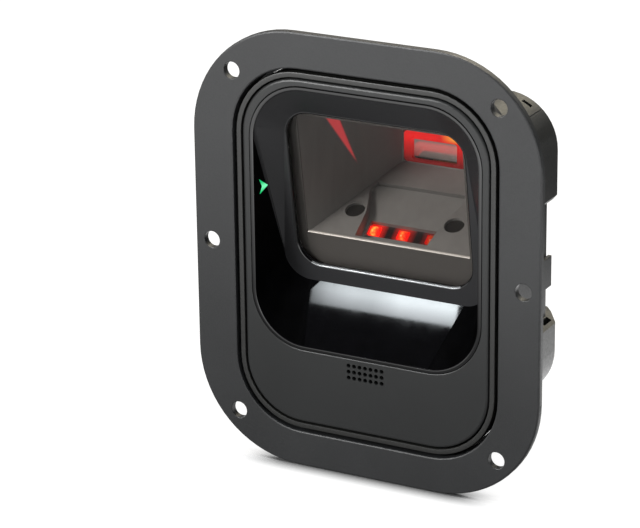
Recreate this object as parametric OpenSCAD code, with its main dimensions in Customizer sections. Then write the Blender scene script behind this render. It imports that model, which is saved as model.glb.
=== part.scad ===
// Fixed barcode reader: a scanner head set flush into a panel-mounting flange.
// X is to the right seen from the front, Z is up and the front faces -Y.
// The origin is the centre of the flange's back face, which meets the panel.
// "Depth" is always measured backwards from the flange's front face.

/* [Mounting flange] */
// Width of the flange
flange_w = 109.4; // [106:0.2:124]
// Height of the flange
flange_h = 131.4; // [128:0.2:150]
// Outer corner radius of the flange
flange_r = 32.5; // [26:0.5:34]
// Thickness of the flange
flange_t = 2.2; // [1.6:0.1:4]
// Diameter of the six fixing holes
hole_d = 5; // [3:0.1:6]
// How far the side holes lie outside the middle of the flange's sides
side_hole_out = 1.2; // [0:0.05:2]
// How far the corner holes lie inside the middle of the flange's sides
corner_hole_in = 6.6; // [5:0.05:8]
// How far the corner holes lie inside the middle of its top and bottom
corner_hole_drop = 8.35; // [7:0.05:10]
// Thickness of the collar behind the flange's opening
collar_t = 1.8; // [1.2:0.1:2.2]
// Clearance of the head in the collar's guide lip
guide_gap = 0.1; // [0.05:0.05:0.3]

/* [Spring arms] */
// Width of each spring arm
arm_w = 9.5; // [6:0.5:16]
// Height of the arms' centre line
arm_z = -12.8; // [-15:0.2:-6]
// Thickness of each spring arm
arm_t = 1.2; // [0.8:0.1:1.6]
// Distance from an arm's free end to the flat back
arm_short = 6.5; // [6:0.5:9]
// Height of the barb that snaps into the housing
barb_h = 1.4; // [0.8:0.1:1.8]
// Clearance of the arm and its barb
arm_gap = 0.15; // [0.1:0.05:0.3]

/* [Rear housing] */
// Width of the front rim
rim_w = 81.6; // [80:0.2:84]
// Height of the front rim
rim_h = 108; // [107:0.5:111]
// Corner radius of the front rim
rim_r = 20; // [18:0.5:22]
// Gap between the rim and the flange's opening
rim_gap = 1; // [0.6:0.1:1.4]
// Wall of the rim
rim_wall = 1.6; // [1.2:0.1:1.8]
// Depth of the rim's and bezel's front edge
front_sink = 0.3; // [0:0.1:0.8]
// Depth at which the rim starts to narrow
rim_depth = 8; // [7.5:0.1:9]
// Depth at which the rear body starts
flare_end = 16; // [15.5:0.5:16.5]
// Length of the crowned back
crown_l = 7.5; // [6.5:0.5:9]
// Depth of the flat back
head_depth = 58; // [57.5:0.5:65]
// How far the crown draws in
crown_inset = 6; // [4:0.5:7]
// How much narrower the rear body is than the rim, on each side
rear_side = 3.6; // [2:0.1:4]
// How much lower the rear body is than the rim, at each end
rear_drop = 7; // [6:0.5:8]
// Height of the rear body's centre
rear_z = -6.2; // [-7:0.1:-5.5]
// Corner radius of the rear body
rear_r = 16; // [15:0.5:18]
// Wall of the housing
wall = 2; // [1.6:0.1:2.2]
// Width of the ledge that carries the bezel's seal
ledge_w = 2; // [1.6:0.1:2.2]

/* [Side recesses] */
// Depth of the recess in each side
recess_in = 3.3; // [2:0.1:3.5]
// Top of the recess
recess_top = 8; // [6:0.2:10]
// Bottom of the recess
recess_bottom = -27; // [-30:0.5:-24]
// Depth at which the recess starts
recess_start = 16.5; // [16:0.5:18]
// Length of the sloping lead into the recess
recess_lead = 5; // [4:0.5:6]
// Width of the blind hook slots
hook_slot_w = 1.6; // [1:0.1:1.8]
// Length of the blind hook slots
hook_slot_l = 5; // [3:0.5:6]
// Drop of the hook slots below the recess
hook_slot_h = 3.5; // [2:0.5:4]

/* [Front bezel] */
// Thickness of the bezel's face
bezel_t = 2; // [1.6:0.1:2.4]
// Gap between the bezel and the rim
seam_gap = 0.4; // [0.3:0.05:0.6]
// Chamfer round the bezel's front edge
bezel_edge = 0.8; // [0.4:0.1:1.2]
// Wall of the bezel's skirt
skirt_t = 1.2; // [1:0.1:1.3]
// Depth of the skirt's back edge
skirt_end = 6.2; // [5.5:0.1:6.6]
// Diameter of the speaker holes
grille_d = 1.2; // [0.8:0.1:1.4]
// Pitch of the speaker holes, across
grille_pitch_x = 1.77; // [1.6:0.01:1.9]
// Pitch of the speaker holes, up
grille_pitch_z = 1.85; // [1.6:0.01:1.9]
// Speaker holes in a row
grille_columns = 7; // [5:2:7]
// Rows of speaker holes
grille_rows = 3; // [1:2:3]
// Distance from the rim's bottom to the speaker grille's centre
grille_up = 20.5; // [19:0.1:21]

/* [Window surround] */
// Distance from the rim's side to the funnel
pocket_side = 5.5; // [5.3:0.1:6.5]
// Distance from the rim's top to the funnel
pocket_drop = 5.4; // [5.2:0.1:7]
// Distance from the rim's bottom to the funnel
pocket_rise = 25.8; // [25:0.1:27]
// Lower corner radius of the funnel
pocket_r_low = 15.5; // [12:0.5:18]
// Upper corner radius of the funnel
pocket_r_high = 16; // [12:0.5:18]
// Wall of the surround, which also shows as its lip
surround_t = 1.2; // [1:0.1:1.4]
// Clearance of the lip in the bezel
lip_gap = 0.1; // [0.05:0.05:0.2]
// How much narrower the funnel's floor is than its front, on each side
floor_side = 2.7; // [2.6:0.1:3.8]
// Height of the chin, from the funnel's front to its floor
floor_rise = 15.2; // [14:0.2:17]
// Corner radius of the funnel's floor
floor_r = 8; // [6:0.5:10]

/* [Window] */
// Width of the window
window_w = 56; // [52:0.5:56.5]
// Distance from the funnel's top to the window
window_drop = 8.4; // [7.6:0.1:10]
// Distance from the funnel's bottom to the window
window_rise = 20.5; // [19.7:0.1:22]
// Corner radius of the window
window_r = 7.5; // [5:0.5:9]
// Lean of the window
window_tilt = 8.9; // [7:0.1:10]
// Depth of the window's centre
window_depth = 9.6; // [9.2:0.1:10]
// Thickness of the pane
pane_t = 1.5; // [1:0.1:2]
// How far the pane laps behind the surround
pane_lap = 1; // [0.8:0.1:1.2]
// Thickness of the window's seal
seal_t = 0.4; // [0.2:0.1:0.6]

/* [Optical chamber] */
// Wall of the chamber
chamber_t = 1.5; // [1.2:0.1:1.6]
// How much narrower the chamber's mouth is than the window, on each side
mouth_side = 1.5; // [1.5:0.1:3]
// Distance from the window's bottom to the deck's front edge
deck_rise = 8.1; // [7.7:0.1:8.7]
// Distance from the chamber's back wall to the flat back
back_room = 12.6; // [12.6:0.1:14]
// Width of the chamber's back wall
back_w = 21; // [20.5:0.1:22]
// Distance from the window's top to the top of the chamber's back wall
back_drop = 13.9; // [13:0.1:14.4]
// Height of the chamber's back wall
back_h = 10.3; // [10.2:0.1:11]
// Width of the camera port
port_w = 20; // [17:0.5:20]
// Height of the camera port
port_h = 9.5; // [7:0.1:9.6]
// Distance from the back wall's top to the camera port's centre
port_drop = 5.25; // [5.2:0.05:5.3]
// Diameter of the two sensor windows
sensor_d = 6; // [5:0.1:6.2]
// Distance between the sensor windows
sensor_pitch = 32; // [32:0.5:33]
// Depth of the trough in the deck, at its front
trough_deep = 3.8; // [3.4:0.1:4.2]
// Depth of the trough at its back
trough_step = 0.8; // [0.6:0.1:1.2]
// Width of the LED slot in the trough
led_slot_w = 22; // [21.5:0.1:22.2]
// Length of the LED slot up the trough
led_slot_l = 5.2; // [4.5:0.1:5.6]
// Distance between the LEDs
led_pitch = 9.2; // [7:0.1:9.2]
// Number of LEDs
led_count = 3; // [1:2:3]

/* [Boards and fasteners] */
// Thickness of the circuit boards
board_t = 1.6; // [1:0.1:1.8]
// Width of the main board
main_board_w = 52; // [48:0.5:53]
// Height of the main board
main_board_h = 27; // [26:0.5:27]
// Distance from the main board's front face to the flat back
board_room = 20; // [19:0.5:22]
// Core diameter of the housing screws
screw_d = 2.4; // [2:0.1:2.6]
// Core diameter of the chamber screws
small_screw_d = 1.5; // [1.2:0.1:1.6]
// Clearance of a screw in its hole
screw_gap = 0.1; // [0.05:0.05:0.2]
// Clearance between parts that drop in
fit = 0.15; // [0.1:0.05:0.25]
// Width of the cable socket
socket_w = 15; // [14:0.5:16]
// Height of the cable socket
socket_h = 13; // [12:0.5:14]
// Width of the socket's plug opening
plug_w = 11.8; // [10:0.1:12]
// Height of the socket's plug opening
plug_h = 7; // [6:0.1:8]

/* [Hidden] */
$fn = 64;
// Facets of the blended shapes, and the thickness of their end slices
blend_fn = 40;
skin = 0.05;
front_y = -flange_t;
open_x = rim_w / 2 + rim_gap;
open_z = rim_h / 2 + rim_gap;
side_pitch = flange_w / 2 + open_x + 2 * side_hole_out;
corner_pitch_x = flange_w / 2 + open_x - 2 * corner_hole_in;
corner_pitch_z = flange_h / 2 + open_z - 2 * corner_hole_drop;
crown_start = head_depth - crown_l;
rear_w = rim_w - 2 * rear_side;
rear_h = rim_h - 2 * rear_drop;
arm_end = head_depth - arm_short;
barb_back = 7;
barb_front = arm_end - barb_back;
barb_l = 3;
barb_flat = 1;
arm_flat = 2;
arm_bend = recess_start + recess_lead + arm_flat;
hook_slot_lip = 0.4;
ledge_seal_t = 1.2;
guide_l = 1;
flange_lap = 0.9;
rear_x = rear_w / 2;
recess_x = rear_x - recess_in;
bezel_back = front_sink + bezel_t;
seam = rim_wall + seam_gap;
grille_z = grille_up - rim_h / 2;
// The funnel's front and floor
pocket_w = rim_w - 2 * pocket_side;
pocket_top = rim_h / 2 - pocket_drop;
pocket_bottom = pocket_rise - rim_h / 2;
floor_w = pocket_w - 2 * floor_side;
floor_bottom = pocket_bottom + floor_rise;
window_top = pocket_top - window_drop;
window_bottom = pocket_bottom + window_rise;
// The window's frame: its centre, its length and what lies behind it
window_z = (window_top + window_bottom) / 2;
window_l = (window_top - window_bottom) / cos(window_tilt);
window_land = 0.15;
pane_front = surround_t + seal_t;
chamber_front = pane_front + pane_t;
// The deck slopes from the chamber's mouth up to its back wall
mouth_w = window_w - 2 * mouth_side;
deck_z = window_bottom + deck_rise;
back_depth = head_depth - back_room;
back_top = window_top - back_drop;
deck_back_z = back_top - back_h;
port_z = back_top - port_drop;
deck_low = (deck_z - window_z) / cos(window_tilt);
deck_depth = window_depth + chamber_front * cos(window_tilt) - deck_low * sin(window_tilt);
deck_tilt = atan((deck_back_z - deck_z) / (back_depth - deck_depth));
deck_l = (back_depth - deck_depth) / cos(deck_tilt);
mouth_top = window_l / 2 - chamber_t;
// Places on the deck, up its slope
sensor_up = 0.354 * deck_l;
sensor_stem = 3;
sensor_sink = 0.4;
led_up = 6.2;
led_board_side = 1;
led_board_w = sensor_pitch - sensor_d - 2 * led_board_side;
led_board_lap = 1;
led_package = [3.4, 2.8, 0.8];
led_dome_r = 1.5;
led_dome_sink = 0.6;
// The trough's outline: half widths and how far they lie up its floor
trough_front = 2.6;
trough_form = [[11.4, 0], [12.3, 9.8], [15.2, 19], [14.2, 22]];
trough_l = trough_form[3][1];
trough_lift = asin((trough_deep - trough_step) / trough_l);
trough_groove = 0.7;
// Places of the chamber's ears on the window's frame
ear_r = 1.9;
ear_gap = 0.3;
ear_x = window_w / 2 + pane_lap + ear_r + ear_gap;
ears = [11, -6];
ear_root = 2;
ear_screw_l = 4;
ear_screw_tip = 0.4;
small_head_d = 2 * small_screw_d;
small_head_h = 1;
// The fold mirror, the camera above it and the cheeks that carry both
chamber_back = back_depth + chamber_t;
mirror_t = 1;
mirror_l = 9;
mirror_tilt = 52;
mirror_rise = mirror_l / 2 * sin(mirror_tilt);
cheek_t = 1.5;
cheek_depth = 6.4;
cheek_drop = 7;
cheek_rise = 12.6;
cheek_gap = 0.6;
cheek_bottom = port_z - cheek_drop;
cheek_top = port_z + cheek_rise;
cheek_in = port_w / 2 + cheek_gap;
camera_back = 3.2;
camera_depth = chamber_back + camera_back;
lens_d = 5;
lens_t = 1.4;
lens_curve_r = 6;
lens_sink = 0.2;
barrel_d = 6.4;
barrel_l = 4;
barrel_wall = 1.2;
holder_w = 10;
holder_h = 3.2;
holder_lip = 0.8;
holder_l = barrel_d + holder_lip;
sensor_w = holder_w / 2;
sensor_l = holder_w / 3;
sensor_t = 0.8;
camera_board_t = 1;
camera_board_front = 2;
camera_board_over = 2;
camera_board_lap = 1;
camera_board_l = cheek_depth + camera_board_over;
camera_board_w = 2 * (cheek_in + cheek_t + camera_board_lap);
ribbon_w = 9;
ribbon_t = 0.3;
ribbon_gap = 0.6;
ribbon_lap = 3;
// The light frame that lines the camera port
light_side = 2.6;
light_top = 2.2;
light_bottom = 0.8;
light_r = 1.2;
light_in_r = 0.8;
// Main board, its posts and what it carries
low_screw_up = 12.8;
low_screw_z = rear_z - rear_h / 2 + low_screw_up;
board_up = 17.15;
main_board_z = low_screw_z + board_up;
main_board_depth = head_depth - board_room;
main_board_r = 1.5;
post_side = 4;
post_end = 3.5;
post_x = main_board_w / 2 - post_side;
post_z = main_board_h / 2 - post_end;
post_d = 5;
post_pilot = 8;
board_screw_l = 6;
board_head_h = 1.2;
board_back = main_board_depth + board_t;
// Each chip's place on the main board and its size
processor_at = [-8, 2];
processor_size = [13, 13, 1.4];
memory_at = [[5, 7], [5, -1]];
memory_size = [8, 6, 1];
shield_at = [14, -6.5];
shield_size = [8, 9, 2.4];
shield_wall = 0.3;
// Cable socket
socket_up = 0.25;
socket_sink = 0.2;
socket_z = main_board_z + socket_up;
socket_depth = head_depth - socket_sink;
plug_l = 11;
plug_up = 0.6;
plug_z = socket_z + plug_up;
latch_h = 1.6;
contact_count = 10;
contact_pitch = 1.02;
contact_w = 0.4;
contact_t = 0.5;
contact_short = 3;
contact_l = plug_l - contact_short;
// Housing screws
boss_d = 6;
head_d = 5;
head_h = 2.2;
low_screw_x = 19;
low_room = 22;
low_clamp = 4;
low_seat = head_depth - low_room;
low_joint = low_seat - low_clamp;
high_screw_x = 19;
high_screw_up = 3.6;
high_screw_z = back_top + high_screw_up;
high_room = 7;
high_seat = head_depth - high_room;
thread_l = 9;
high_thread_l = 5;
boss_gap = 0.2;
screw_tip = 1;
// Cross recess of a screw, as shares of its head
cross_l = 0.6;
cross_w = 0.16;
// Slots and grooves of the upper corners
corner_angle = 61;
corner_slot_l = 3.2;
corner_slot_w = 1.5;
corner_slot_in = 1.2;
corner_slot_back = 3;
corner_slot_depth = crown_start - corner_slot_back;
corner_x = rear_x - rear_r;
corner_z = rear_z + rear_h / 2 - rear_r;
groove_angle = 47;
groove_w = 0.4;
// Good-read lenses
lens_up = 0.95;
lens_z = window_z + lens_up;
lens_depth = 2.6;
lens_rise = 3.4;
lens_arm = 1.8;
lens_point = 2;
lens_proud = 0.3;
// How far the funnel's wall has drawn in where the lens comes through
lens_draw = 0.73;
lens_in = pocket_w / 2 - lens_draw - lens_proud;
lens_back = 0.3;
lens_out = pocket_w / 2 + surround_t - lens_back;
led_front = bezel_back + surround_t + fit;
led_l = 2.2;
led_h = 2;
led_thick = 0.5;
led_strip_t = 0.2;
led_strip_over = 0.4;
led_strip_l = led_l + led_strip_over;
led_strip_low = 6;
led_strip_high = 2;
// Speaker
speaker_w = 20;
speaker_h = 11;
speaker_t = 3;
speaker_r = 2.5;
magnet_d = 9;
magnet_t = 1.6;
gasket_t = 1.5;
gasket_w = 15.4;
gasket_h = 7.8;
gasket_wall = 1;
gasket_r = 2;
gasket_in_r = 1.5;
grip_t = 1.5;
spare = 1;
recess_draw = crown_inset * (crown_l + spare) / crown_l;

// A flat shape in X and Z, from one depth backwards
module leaf(depth, thick) {
    translate([0, depth + thick, 0]) rotate([90, 0, 0]) linear_extrude(thick) children();
}

module slab(depth, thick) {
    translate([0, front_y, 0]) leaf(depth, thick) children();
}

// A shape in X and depth, between two heights
module layer(low, high) {
    translate([0, front_y, low]) linear_extrude(high - low) children();
}

// A round bar that runs backwards from one depth
module bar(x, depth, z, d, l) {
    translate([x, front_y + depth, z]) rotate([-90, 0, 0]) cylinder(d = d, h = l);
}

// The window's own frame, with depth counted from its front face
module on_window() {
    translate([0, front_y + window_depth, window_z]) rotate([window_tilt, 0, 0]) children();
}

// The deck's own frame: Y runs up the slope and Z out of it
module on_deck() {
    translate([0, front_y + deck_depth, deck_z]) rotate([deck_tilt, 0, 0]) children();
}

// The floor of the trough, which rises nearly to the deck at its back end
module on_trough() {
    on_deck() translate([0, trough_front, -trough_deep]) rotate([trough_lift, 0, 0]) children();
}

module both_sides() {
    children();
    mirror([1, 0, 0]) children();
}

module rounded(w, h, r) {
    square([w - 2 * r, h], center = true);
    square([w, h - 2 * r], center = true);
    for (sx = [-1, 1], sz = [-1, 1])
        translate([sx * (w / 2 - r), sz * (h / 2 - r)]) circle(r);
}

module rim_outline(inset = 0) {
    rounded(rim_w - 2 * inset, rim_h - 2 * inset, rim_r - inset);
}

module rear_outline(inset = 0) {
    translate([0, rear_z]) rounded(rear_w - 2 * inset, rear_h - 2 * inset, rear_r - inset);
}

module pocket_outline(grow = 0) {
    w = pocket_w + 2 * grow;
    top = pocket_top + grow;
    bottom = pocket_bottom - grow;
    high = pocket_r_high + grow;
    low = pocket_r_low + grow;
    translate([-w / 2, bottom + low]) square([w, top - high - bottom - low]);
    translate([-w / 2 + low, bottom]) square([w - 2 * low, low + skin]);
    translate([-w / 2 + high, top - high - skin]) square([w - 2 * high, high + skin]);
    for (s = [-1, 1]) {
        translate([s * (w / 2 - low), bottom + low]) circle(low);
        translate([s * (w / 2 - high), top - high]) circle(high);
    }
}

module window_outline(grow = 0) {
    rounded(window_w + 2 * grow, window_l + 2 * grow, window_r + grow);
}

// The funnel in front of the window, blended from three outlines
module funnel(grow, land, back) {
    $fn = blend_fn;
    floor_low = (floor_bottom - window_z) / cos(window_tilt);
    hull() {
        slab(front_sink + skin - (grow > 0 ? 0 : spare), skin + (grow > 0 ? 0 : spare)) pocket_outline(grow);
        on_window() leaf(back - skin, skin) {
            for (s = [-1, 1])
                translate([s * (floor_w / 2 - floor_r), floor_low + floor_r]) circle(floor_r + grow);
            window_outline(grow + land);
        }
    }
}

module recess_plan(inset) {
    far = rear_x + spare;
    polygon([[far, recess_start - inset / 2], [rear_x - inset, recess_start - inset / 2],
        [recess_x - inset, recess_start + recess_lead - inset / 2], [recess_x - inset, crown_start],
        [recess_x - inset - recess_draw, head_depth + spare], [far, head_depth + spare]]);
}

// The recess in the right side, with a sloping upper end and a floor that draws in with the crown
module side_recess() {
    far = rear_x + spare;
    intersection() {
        layer(recess_bottom - recess_in - spare, recess_top + 2 * recess_in + spare) recess_plan(0);
        slab(0, head_depth + 2 * spare)
            polygon([[recess_x - 2 * recess_draw, recess_bottom], [recess_x, recess_bottom],
                [far, recess_bottom - (far - recess_x) / 2], [far, recess_top + far - recess_x],
                [recess_x, recess_top], [recess_x - 2 * recess_draw, recess_top]]);
    }
}

module hook_slot() {
    slot_front = crown_start - hook_slot_l;
    layer(recess_bottom - hook_slot_h, recess_bottom + skin)
        translate([recess_x + hook_slot_lip, slot_front]) square([hook_slot_w, hook_slot_l]);
}

// A short blind slot across the upper corner of the rear body
module corner_slot() {
    translate([corner_x, front_y + corner_slot_depth, corner_z]) rotate([0, -corner_angle, 0])
        translate([rear_r - corner_slot_in, -corner_slot_w, -corner_slot_l / 2])
            cube([corner_slot_in + spare, corner_slot_w, corner_slot_l]);
}

// A fine groove along the upper corner, where the two halves of the mould met
module corner_groove() {
    translate([corner_x, front_y + flare_end, corner_z]) rotate([0, -groove_angle, 0])
        translate([rear_r - groove_w, 0, -groove_w / 2]) cube([groove_w + spare, head_depth, groove_w]);
}

module barb_slot() {
    layer(arm_z - arm_w / 2 - 2 * arm_gap, arm_z + arm_w / 2 + 2 * arm_gap)
        translate([recess_x - wall - spare, barb_front - 2 * arm_gap])
            square([wall + 2 * spare, barb_l + 4 * arm_gap]);
}

module housing_outside() {
    slab(front_sink, rim_depth - front_sink) rim_outline();
    hull() {
        $fn = blend_fn;
        slab(rim_depth - skin, skin) rim_outline();
        slab(flare_end, skin) rear_outline();
    }
    slab(flare_end, crown_start - flare_end) rear_outline();
    hull() {
        $fn = blend_fn;
        slab(crown_start - skin, skin) rear_outline();
        slab(head_depth - skin, skin) rear_outline(crown_inset);
    }
}

module housing_inside() {
    seal_back = skirt_end + ledge_seal_t;
    slab(front_sink - spare, seal_back - front_sink + spare) rim_outline(rim_wall);
    difference() {
        union() {
            hull() {
                $fn = blend_fn;
                slab(seal_back - skin, skin) rim_outline(rim_wall + ledge_w);
                slab(flare_end, skin) rear_outline(wall);
            }
            slab(flare_end, crown_start - flare_end) rear_outline(wall);
            hull() {
                $fn = blend_fn;
                slab(crown_start - skin, skin) rear_outline(wall);
                slab(head_depth - wall - skin, skin) rear_outline(wall + crown_inset);
            }
        }
        both_sides()
            layer(recess_bottom - hook_slot_h - wall, recess_top + recess_in + wall) recess_plan(wall);
    }
}

module mounting_flange() {
    color([0.3, 0.3, 0.32]) {
        difference() {
            union() {
                slab(0, flange_t) rounded(flange_w, flange_h, flange_r);
                slab(flange_t - skin, rim_depth - flange_t) rim_outline(-rim_gap - collar_t);
            }
            slab(-spare, rim_depth - guide_l + spare) rim_outline(-rim_gap);
            slab(-spare, rim_depth + 2 * spare) rim_outline(-guide_gap);
            for (sx = [-1, 1]) {
                bar(sx * side_pitch / 2, -spare, 0, hole_d, flange_t + 2 * spare);
                for (sz = [-1, 1])
                    bar(sx * corner_pitch_x / 2, -spare, sz * corner_pitch_z / 2, hole_d,
                        rim_depth + 2 * spare);
            }
        }
        both_sides() layer(arm_z - arm_w / 2, arm_z + arm_w / 2) arm_plan();
    }
}

// The spring arm slopes in from the collar, lies in the recess and ends in a barb
module arm_plan() {
    inner = recess_x + arm_gap;
    outer = inner + arm_t;
    polygon([[open_x, flange_t], [open_x, rim_depth], [inner, arm_bend], [inner, barb_front],
        [inner - barb_h, barb_front], [inner - barb_h, barb_front + barb_flat], [inner, barb_front + barb_l],
        [inner, arm_end], [outer, arm_end], [outer, arm_bend], [open_x + collar_t, rim_depth],
        [open_x + collar_t, flange_t]]);
}

module rear_housing() {
    back_inside = head_depth - wall;
    color([0.2, 0.2, 0.2])
    difference() {
        union() {
            difference() {
                housing_outside();
                housing_inside();
            }
            for (s = [-1, 1]) {
                bar(s * low_screw_x, low_joint + boss_gap, low_screw_z, boss_d, back_inside - low_joint);
                bar(s * high_screw_x, chamber_back + boss_gap, high_screw_z, boss_d,
                    back_inside - chamber_back);
                for (sz = [-1, 1])
                    bar(s * post_x, board_back, main_board_z + sz * post_z, post_d,
                        back_inside - board_back + skin);
            }
        }
        both_sides() {
            side_recess();
            hook_slot();
            corner_slot();
            corner_groove();
            barb_slot();
        }
        for (s = [-1, 1]) {
            bar(s * low_screw_x, low_joint - spare, low_screw_z, screw_d + 2 * screw_gap, head_depth);
            bar(s * low_screw_x, low_seat, low_screw_z, head_d + 4 * screw_gap, head_depth);
            bar(s * high_screw_x, chamber_back - spare, high_screw_z, screw_d + 2 * screw_gap, head_depth);
            bar(s * high_screw_x, high_seat, high_screw_z, head_d + 4 * screw_gap, head_depth);
            for (sz = [-1, 1])
                bar(s * post_x, board_back - spare, main_board_z + sz * post_z,
                    small_screw_d + 2 * screw_gap, post_pilot);
        }
        slab(back_inside - spare, wall + 2 * spare)
            translate([0, socket_z]) square([socket_w + 2 * fit, socket_h + 2 * fit], center = true);
    }
}

module front_bezel() {
    color([0.25, 0.25, 0.25])
    difference() {
        union() {
            hull() {
                $fn = blend_fn;
                slab(front_sink, skin) rim_outline(seam + bezel_edge);
                slab(front_sink + bezel_edge, skin) rim_outline(seam);
            }
            slab(front_sink + bezel_edge, bezel_t - bezel_edge) rim_outline(seam);
            difference() {
                slab(bezel_back - skin, skirt_end - bezel_back + skin) rim_outline(seam);
                slab(bezel_back - spare, skirt_end) rim_outline(seam + skirt_t);
            }
            for (s = [-1, 1]) {
                bar(s * low_screw_x, bezel_back - skin, low_screw_z, boss_d, low_joint - bezel_back + skin);
                slab(bezel_back - skin, gasket_t + speaker_t)
                    translate([s * (speaker_w / 2 + fit + grip_t / 2), grille_z])
                        square([grip_t, speaker_h], center = true);
            }
        }
        slab(front_sink - spare, bezel_t + 2 * spare) pocket_outline(surround_t + lip_gap);
        for (column = [0 : grille_columns - 1], row = [0 : grille_rows - 1])
            bar((column - (grille_columns - 1) / 2) * grille_pitch_x, front_sink - spare,
                grille_z + (row - (grille_rows - 1) / 2) * grille_pitch_z, grille_d, bezel_t + 2 * spare);
        for (s = [-1, 1])
            bar(s * low_screw_x, low_joint - thread_l, low_screw_z,
                screw_d + 2 * screw_gap, thread_l + spare);
    }
}

module bezel_seal() {
    color([0.08, 0.08, 0.08])
    difference() {
        slab(skirt_end, ledge_seal_t) rim_outline(seam);
        slab(skirt_end - spare, ledge_seal_t + 2 * spare) rim_outline(seam + skirt_t);
    }
}

module window_surround() {
    color([0.06, 0.06, 0.06])
    difference() {
        union() {
            funnel(surround_t - skin, 0, surround_t);
            slab(front_sink, bezel_t + skin) pocket_outline(surround_t);
            difference() {
                slab(bezel_back, surround_t) pocket_outline(surround_t + flange_lap);
                slab(bezel_back - spare, surround_t + 2 * spare)
                    translate([-rim_w / 2, -rim_h]) square([rim_w, rim_h + pocket_bottom + pocket_r_low]);
            }
            for (s = [-1, 1], z = ears)
                on_window() translate([s * ear_x, -ear_root, z])
                    rotate([-90, 0, 0]) cylinder(r = ear_r, h = chamber_front + ear_root);
        }
        funnel(0, window_land, 0);
        on_window() leaf(-spare, surround_t + 2 * spare) window_outline();
        for (s = [-1, 1], z = ears)
            on_window() translate([s * ear_x, chamber_front - ear_screw_l + chamber_t - screw_gap, z])
                rotate([-90, 0, 0]) cylinder(d = small_screw_d + 2 * screw_gap, h = ear_screw_l);
        both_sides() good_read_shape(fit / 2, lens_in - spare, lens_out + spare);
    }
}

module window_seal() {
    color([0.04, 0.04, 0.04])
    on_window() difference() {
        leaf(surround_t, seal_t) window_outline(pane_lap);
        leaf(surround_t - spare, seal_t + 2 * spare) window_outline(fit);
    }
}

module window_pane() {
    color([0.5, 0.3, 0.3, 0.4]) on_window() leaf(pane_front, pane_t) window_outline(pane_lap);
}

// The chamber narrows from its mouth behind the pane to its back wall
module chamber_form(grow) {
    hull() {
        $fn = blend_fn;
        on_window() leaf(chamber_front - (grow > 0 ? 0 : spare), skin)
            translate([0, (mouth_top + deck_low) / 2])
                square([mouth_w + 2 * grow, mouth_top - deck_low + 2 * grow], center = true);
        slab(back_depth - skin + grow, skin)
            translate([0, (back_top + deck_back_z) / 2])
                square([back_w + 2 * grow, back_top - deck_back_z + 2 * grow], center = true);
    }
}

module trough(grow) {
    right = [for (p = trough_form) [p[0] + grow, p[1] + (p[1] > 0 ? grow : -grow)]];
    left = [for (i = [3 : -1 : 0]) [-right[i][0], right[i][1]]];
    on_trough() translate([0, 0, -grow]) linear_extrude(trough_deep + spare) polygon(concat(right, left));
}

module optical_chamber() {
    color([0.42, 0.41, 0.39])
    difference() {
        union() {
            chamber_form(chamber_t);
            trough(chamber_t);
            on_window() leaf(chamber_front, chamber_t) window_outline(pane_lap);
            for (s = [-1, 1], z = ears)
                on_window() translate([s * ear_x, chamber_front, z]) {
                    rotate([-90, 0, 0]) cylinder(r = ear_r, h = chamber_t);
                    translate([s > 0 ? -2 * ear_r : 0, 0, -ear_r]) cube([2 * ear_r, chamber_t, 2 * ear_r]);
                }
            for (s = [-1, 1]) {
                bar(s * high_screw_x, chamber_back - high_thread_l - spare, high_screw_z,
                    boss_d, high_thread_l + spare);
                slab(back_depth, chamber_t)
                    translate([s * high_screw_x / 2 - high_screw_x / 2, back_top - boss_d])
                        square([high_screw_x, high_screw_z - back_top + boss_d]);
                slab(chamber_back - skin, cheek_depth)
                    translate([s * (cheek_in + cheek_t / 2), (cheek_top + cheek_bottom) / 2])
                        square([cheek_t, cheek_top - cheek_bottom], center = true);
                slab(chamber_back - skin, cheek_depth)
                    translate([s * (cheek_in - cheek_t / 2), port_z - mirror_rise - cheek_t])
                        square([cheek_t, cheek_t], center = true);
            }
        }
        chamber_form(0);
        trough(0);
        slab(back_depth - spare, chamber_t + 2 * spare)
            translate([0, port_z]) square([port_w, port_h], center = true);
        for (s = [-1, 1]) {
            bar(s * high_screw_x, chamber_back - high_thread_l, high_screw_z,
                screw_d + 2 * screw_gap, high_thread_l + spare);
            on_deck() translate([s * sensor_pitch / 2, sensor_up, -sensor_stem - spare])
                cylinder(d = sensor_d, h = sensor_stem + 2 * spare);
            for (z = ears)
                on_window() translate([s * ear_x, chamber_front - spare, z]) rotate([-90, 0, 0])
                    cylinder(d = small_screw_d + 2 * screw_gap, h = chamber_t + 2 * spare);
        }
        on_trough() {
            translate([-led_slot_w / 2, led_up - led_slot_l / 2, -chamber_t - spare])
                cube([led_slot_w, led_slot_l, chamber_t + 2 * spare]);
            translate([-trough_form[3][0], trough_l - trough_groove, -trough_groove])
                cube([2 * trough_form[3][0], trough_groove, trough_groove + spare]);
        }
    }
}

// Pan-head screw along Y: its head's seat at the origin, its point at -Y
module screw(d, l, head, high) {
    rotate([90, 0, 0]) cylinder(d = d, h = l);
    difference() {
        rotate([-90, 0, 0]) cylinder(d = head, h = high);
        for (a = [0, 90])
            translate([0, high, 0]) rotate([0, a, 0])
                cube([head * cross_l, high, head * cross_w], center = true);
    }
}

module chamber_screws() {
    color([0.7, 0.7, 0.72])
    for (s = [-1, 1], z = ears)
        on_window() translate([s * ear_x, chamber_front + chamber_t, z])
            screw(small_screw_d, ear_screw_l - ear_screw_tip, small_head_d, small_head_h);
}

module light_frame() {
    color([0.9, 0.1, 0.08])
    difference() {
        slab(back_depth, chamber_t) translate([0, port_z]) rounded(port_w - fit, port_h - fit, light_r);
        slab(back_depth - spare, chamber_t + 2 * spare)
            translate([0, port_z + (light_bottom - light_top) / 2])
                rounded(port_w - fit - 2 * light_side, port_h - fit - light_top - light_bottom, light_in_r);
    }
}

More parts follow.
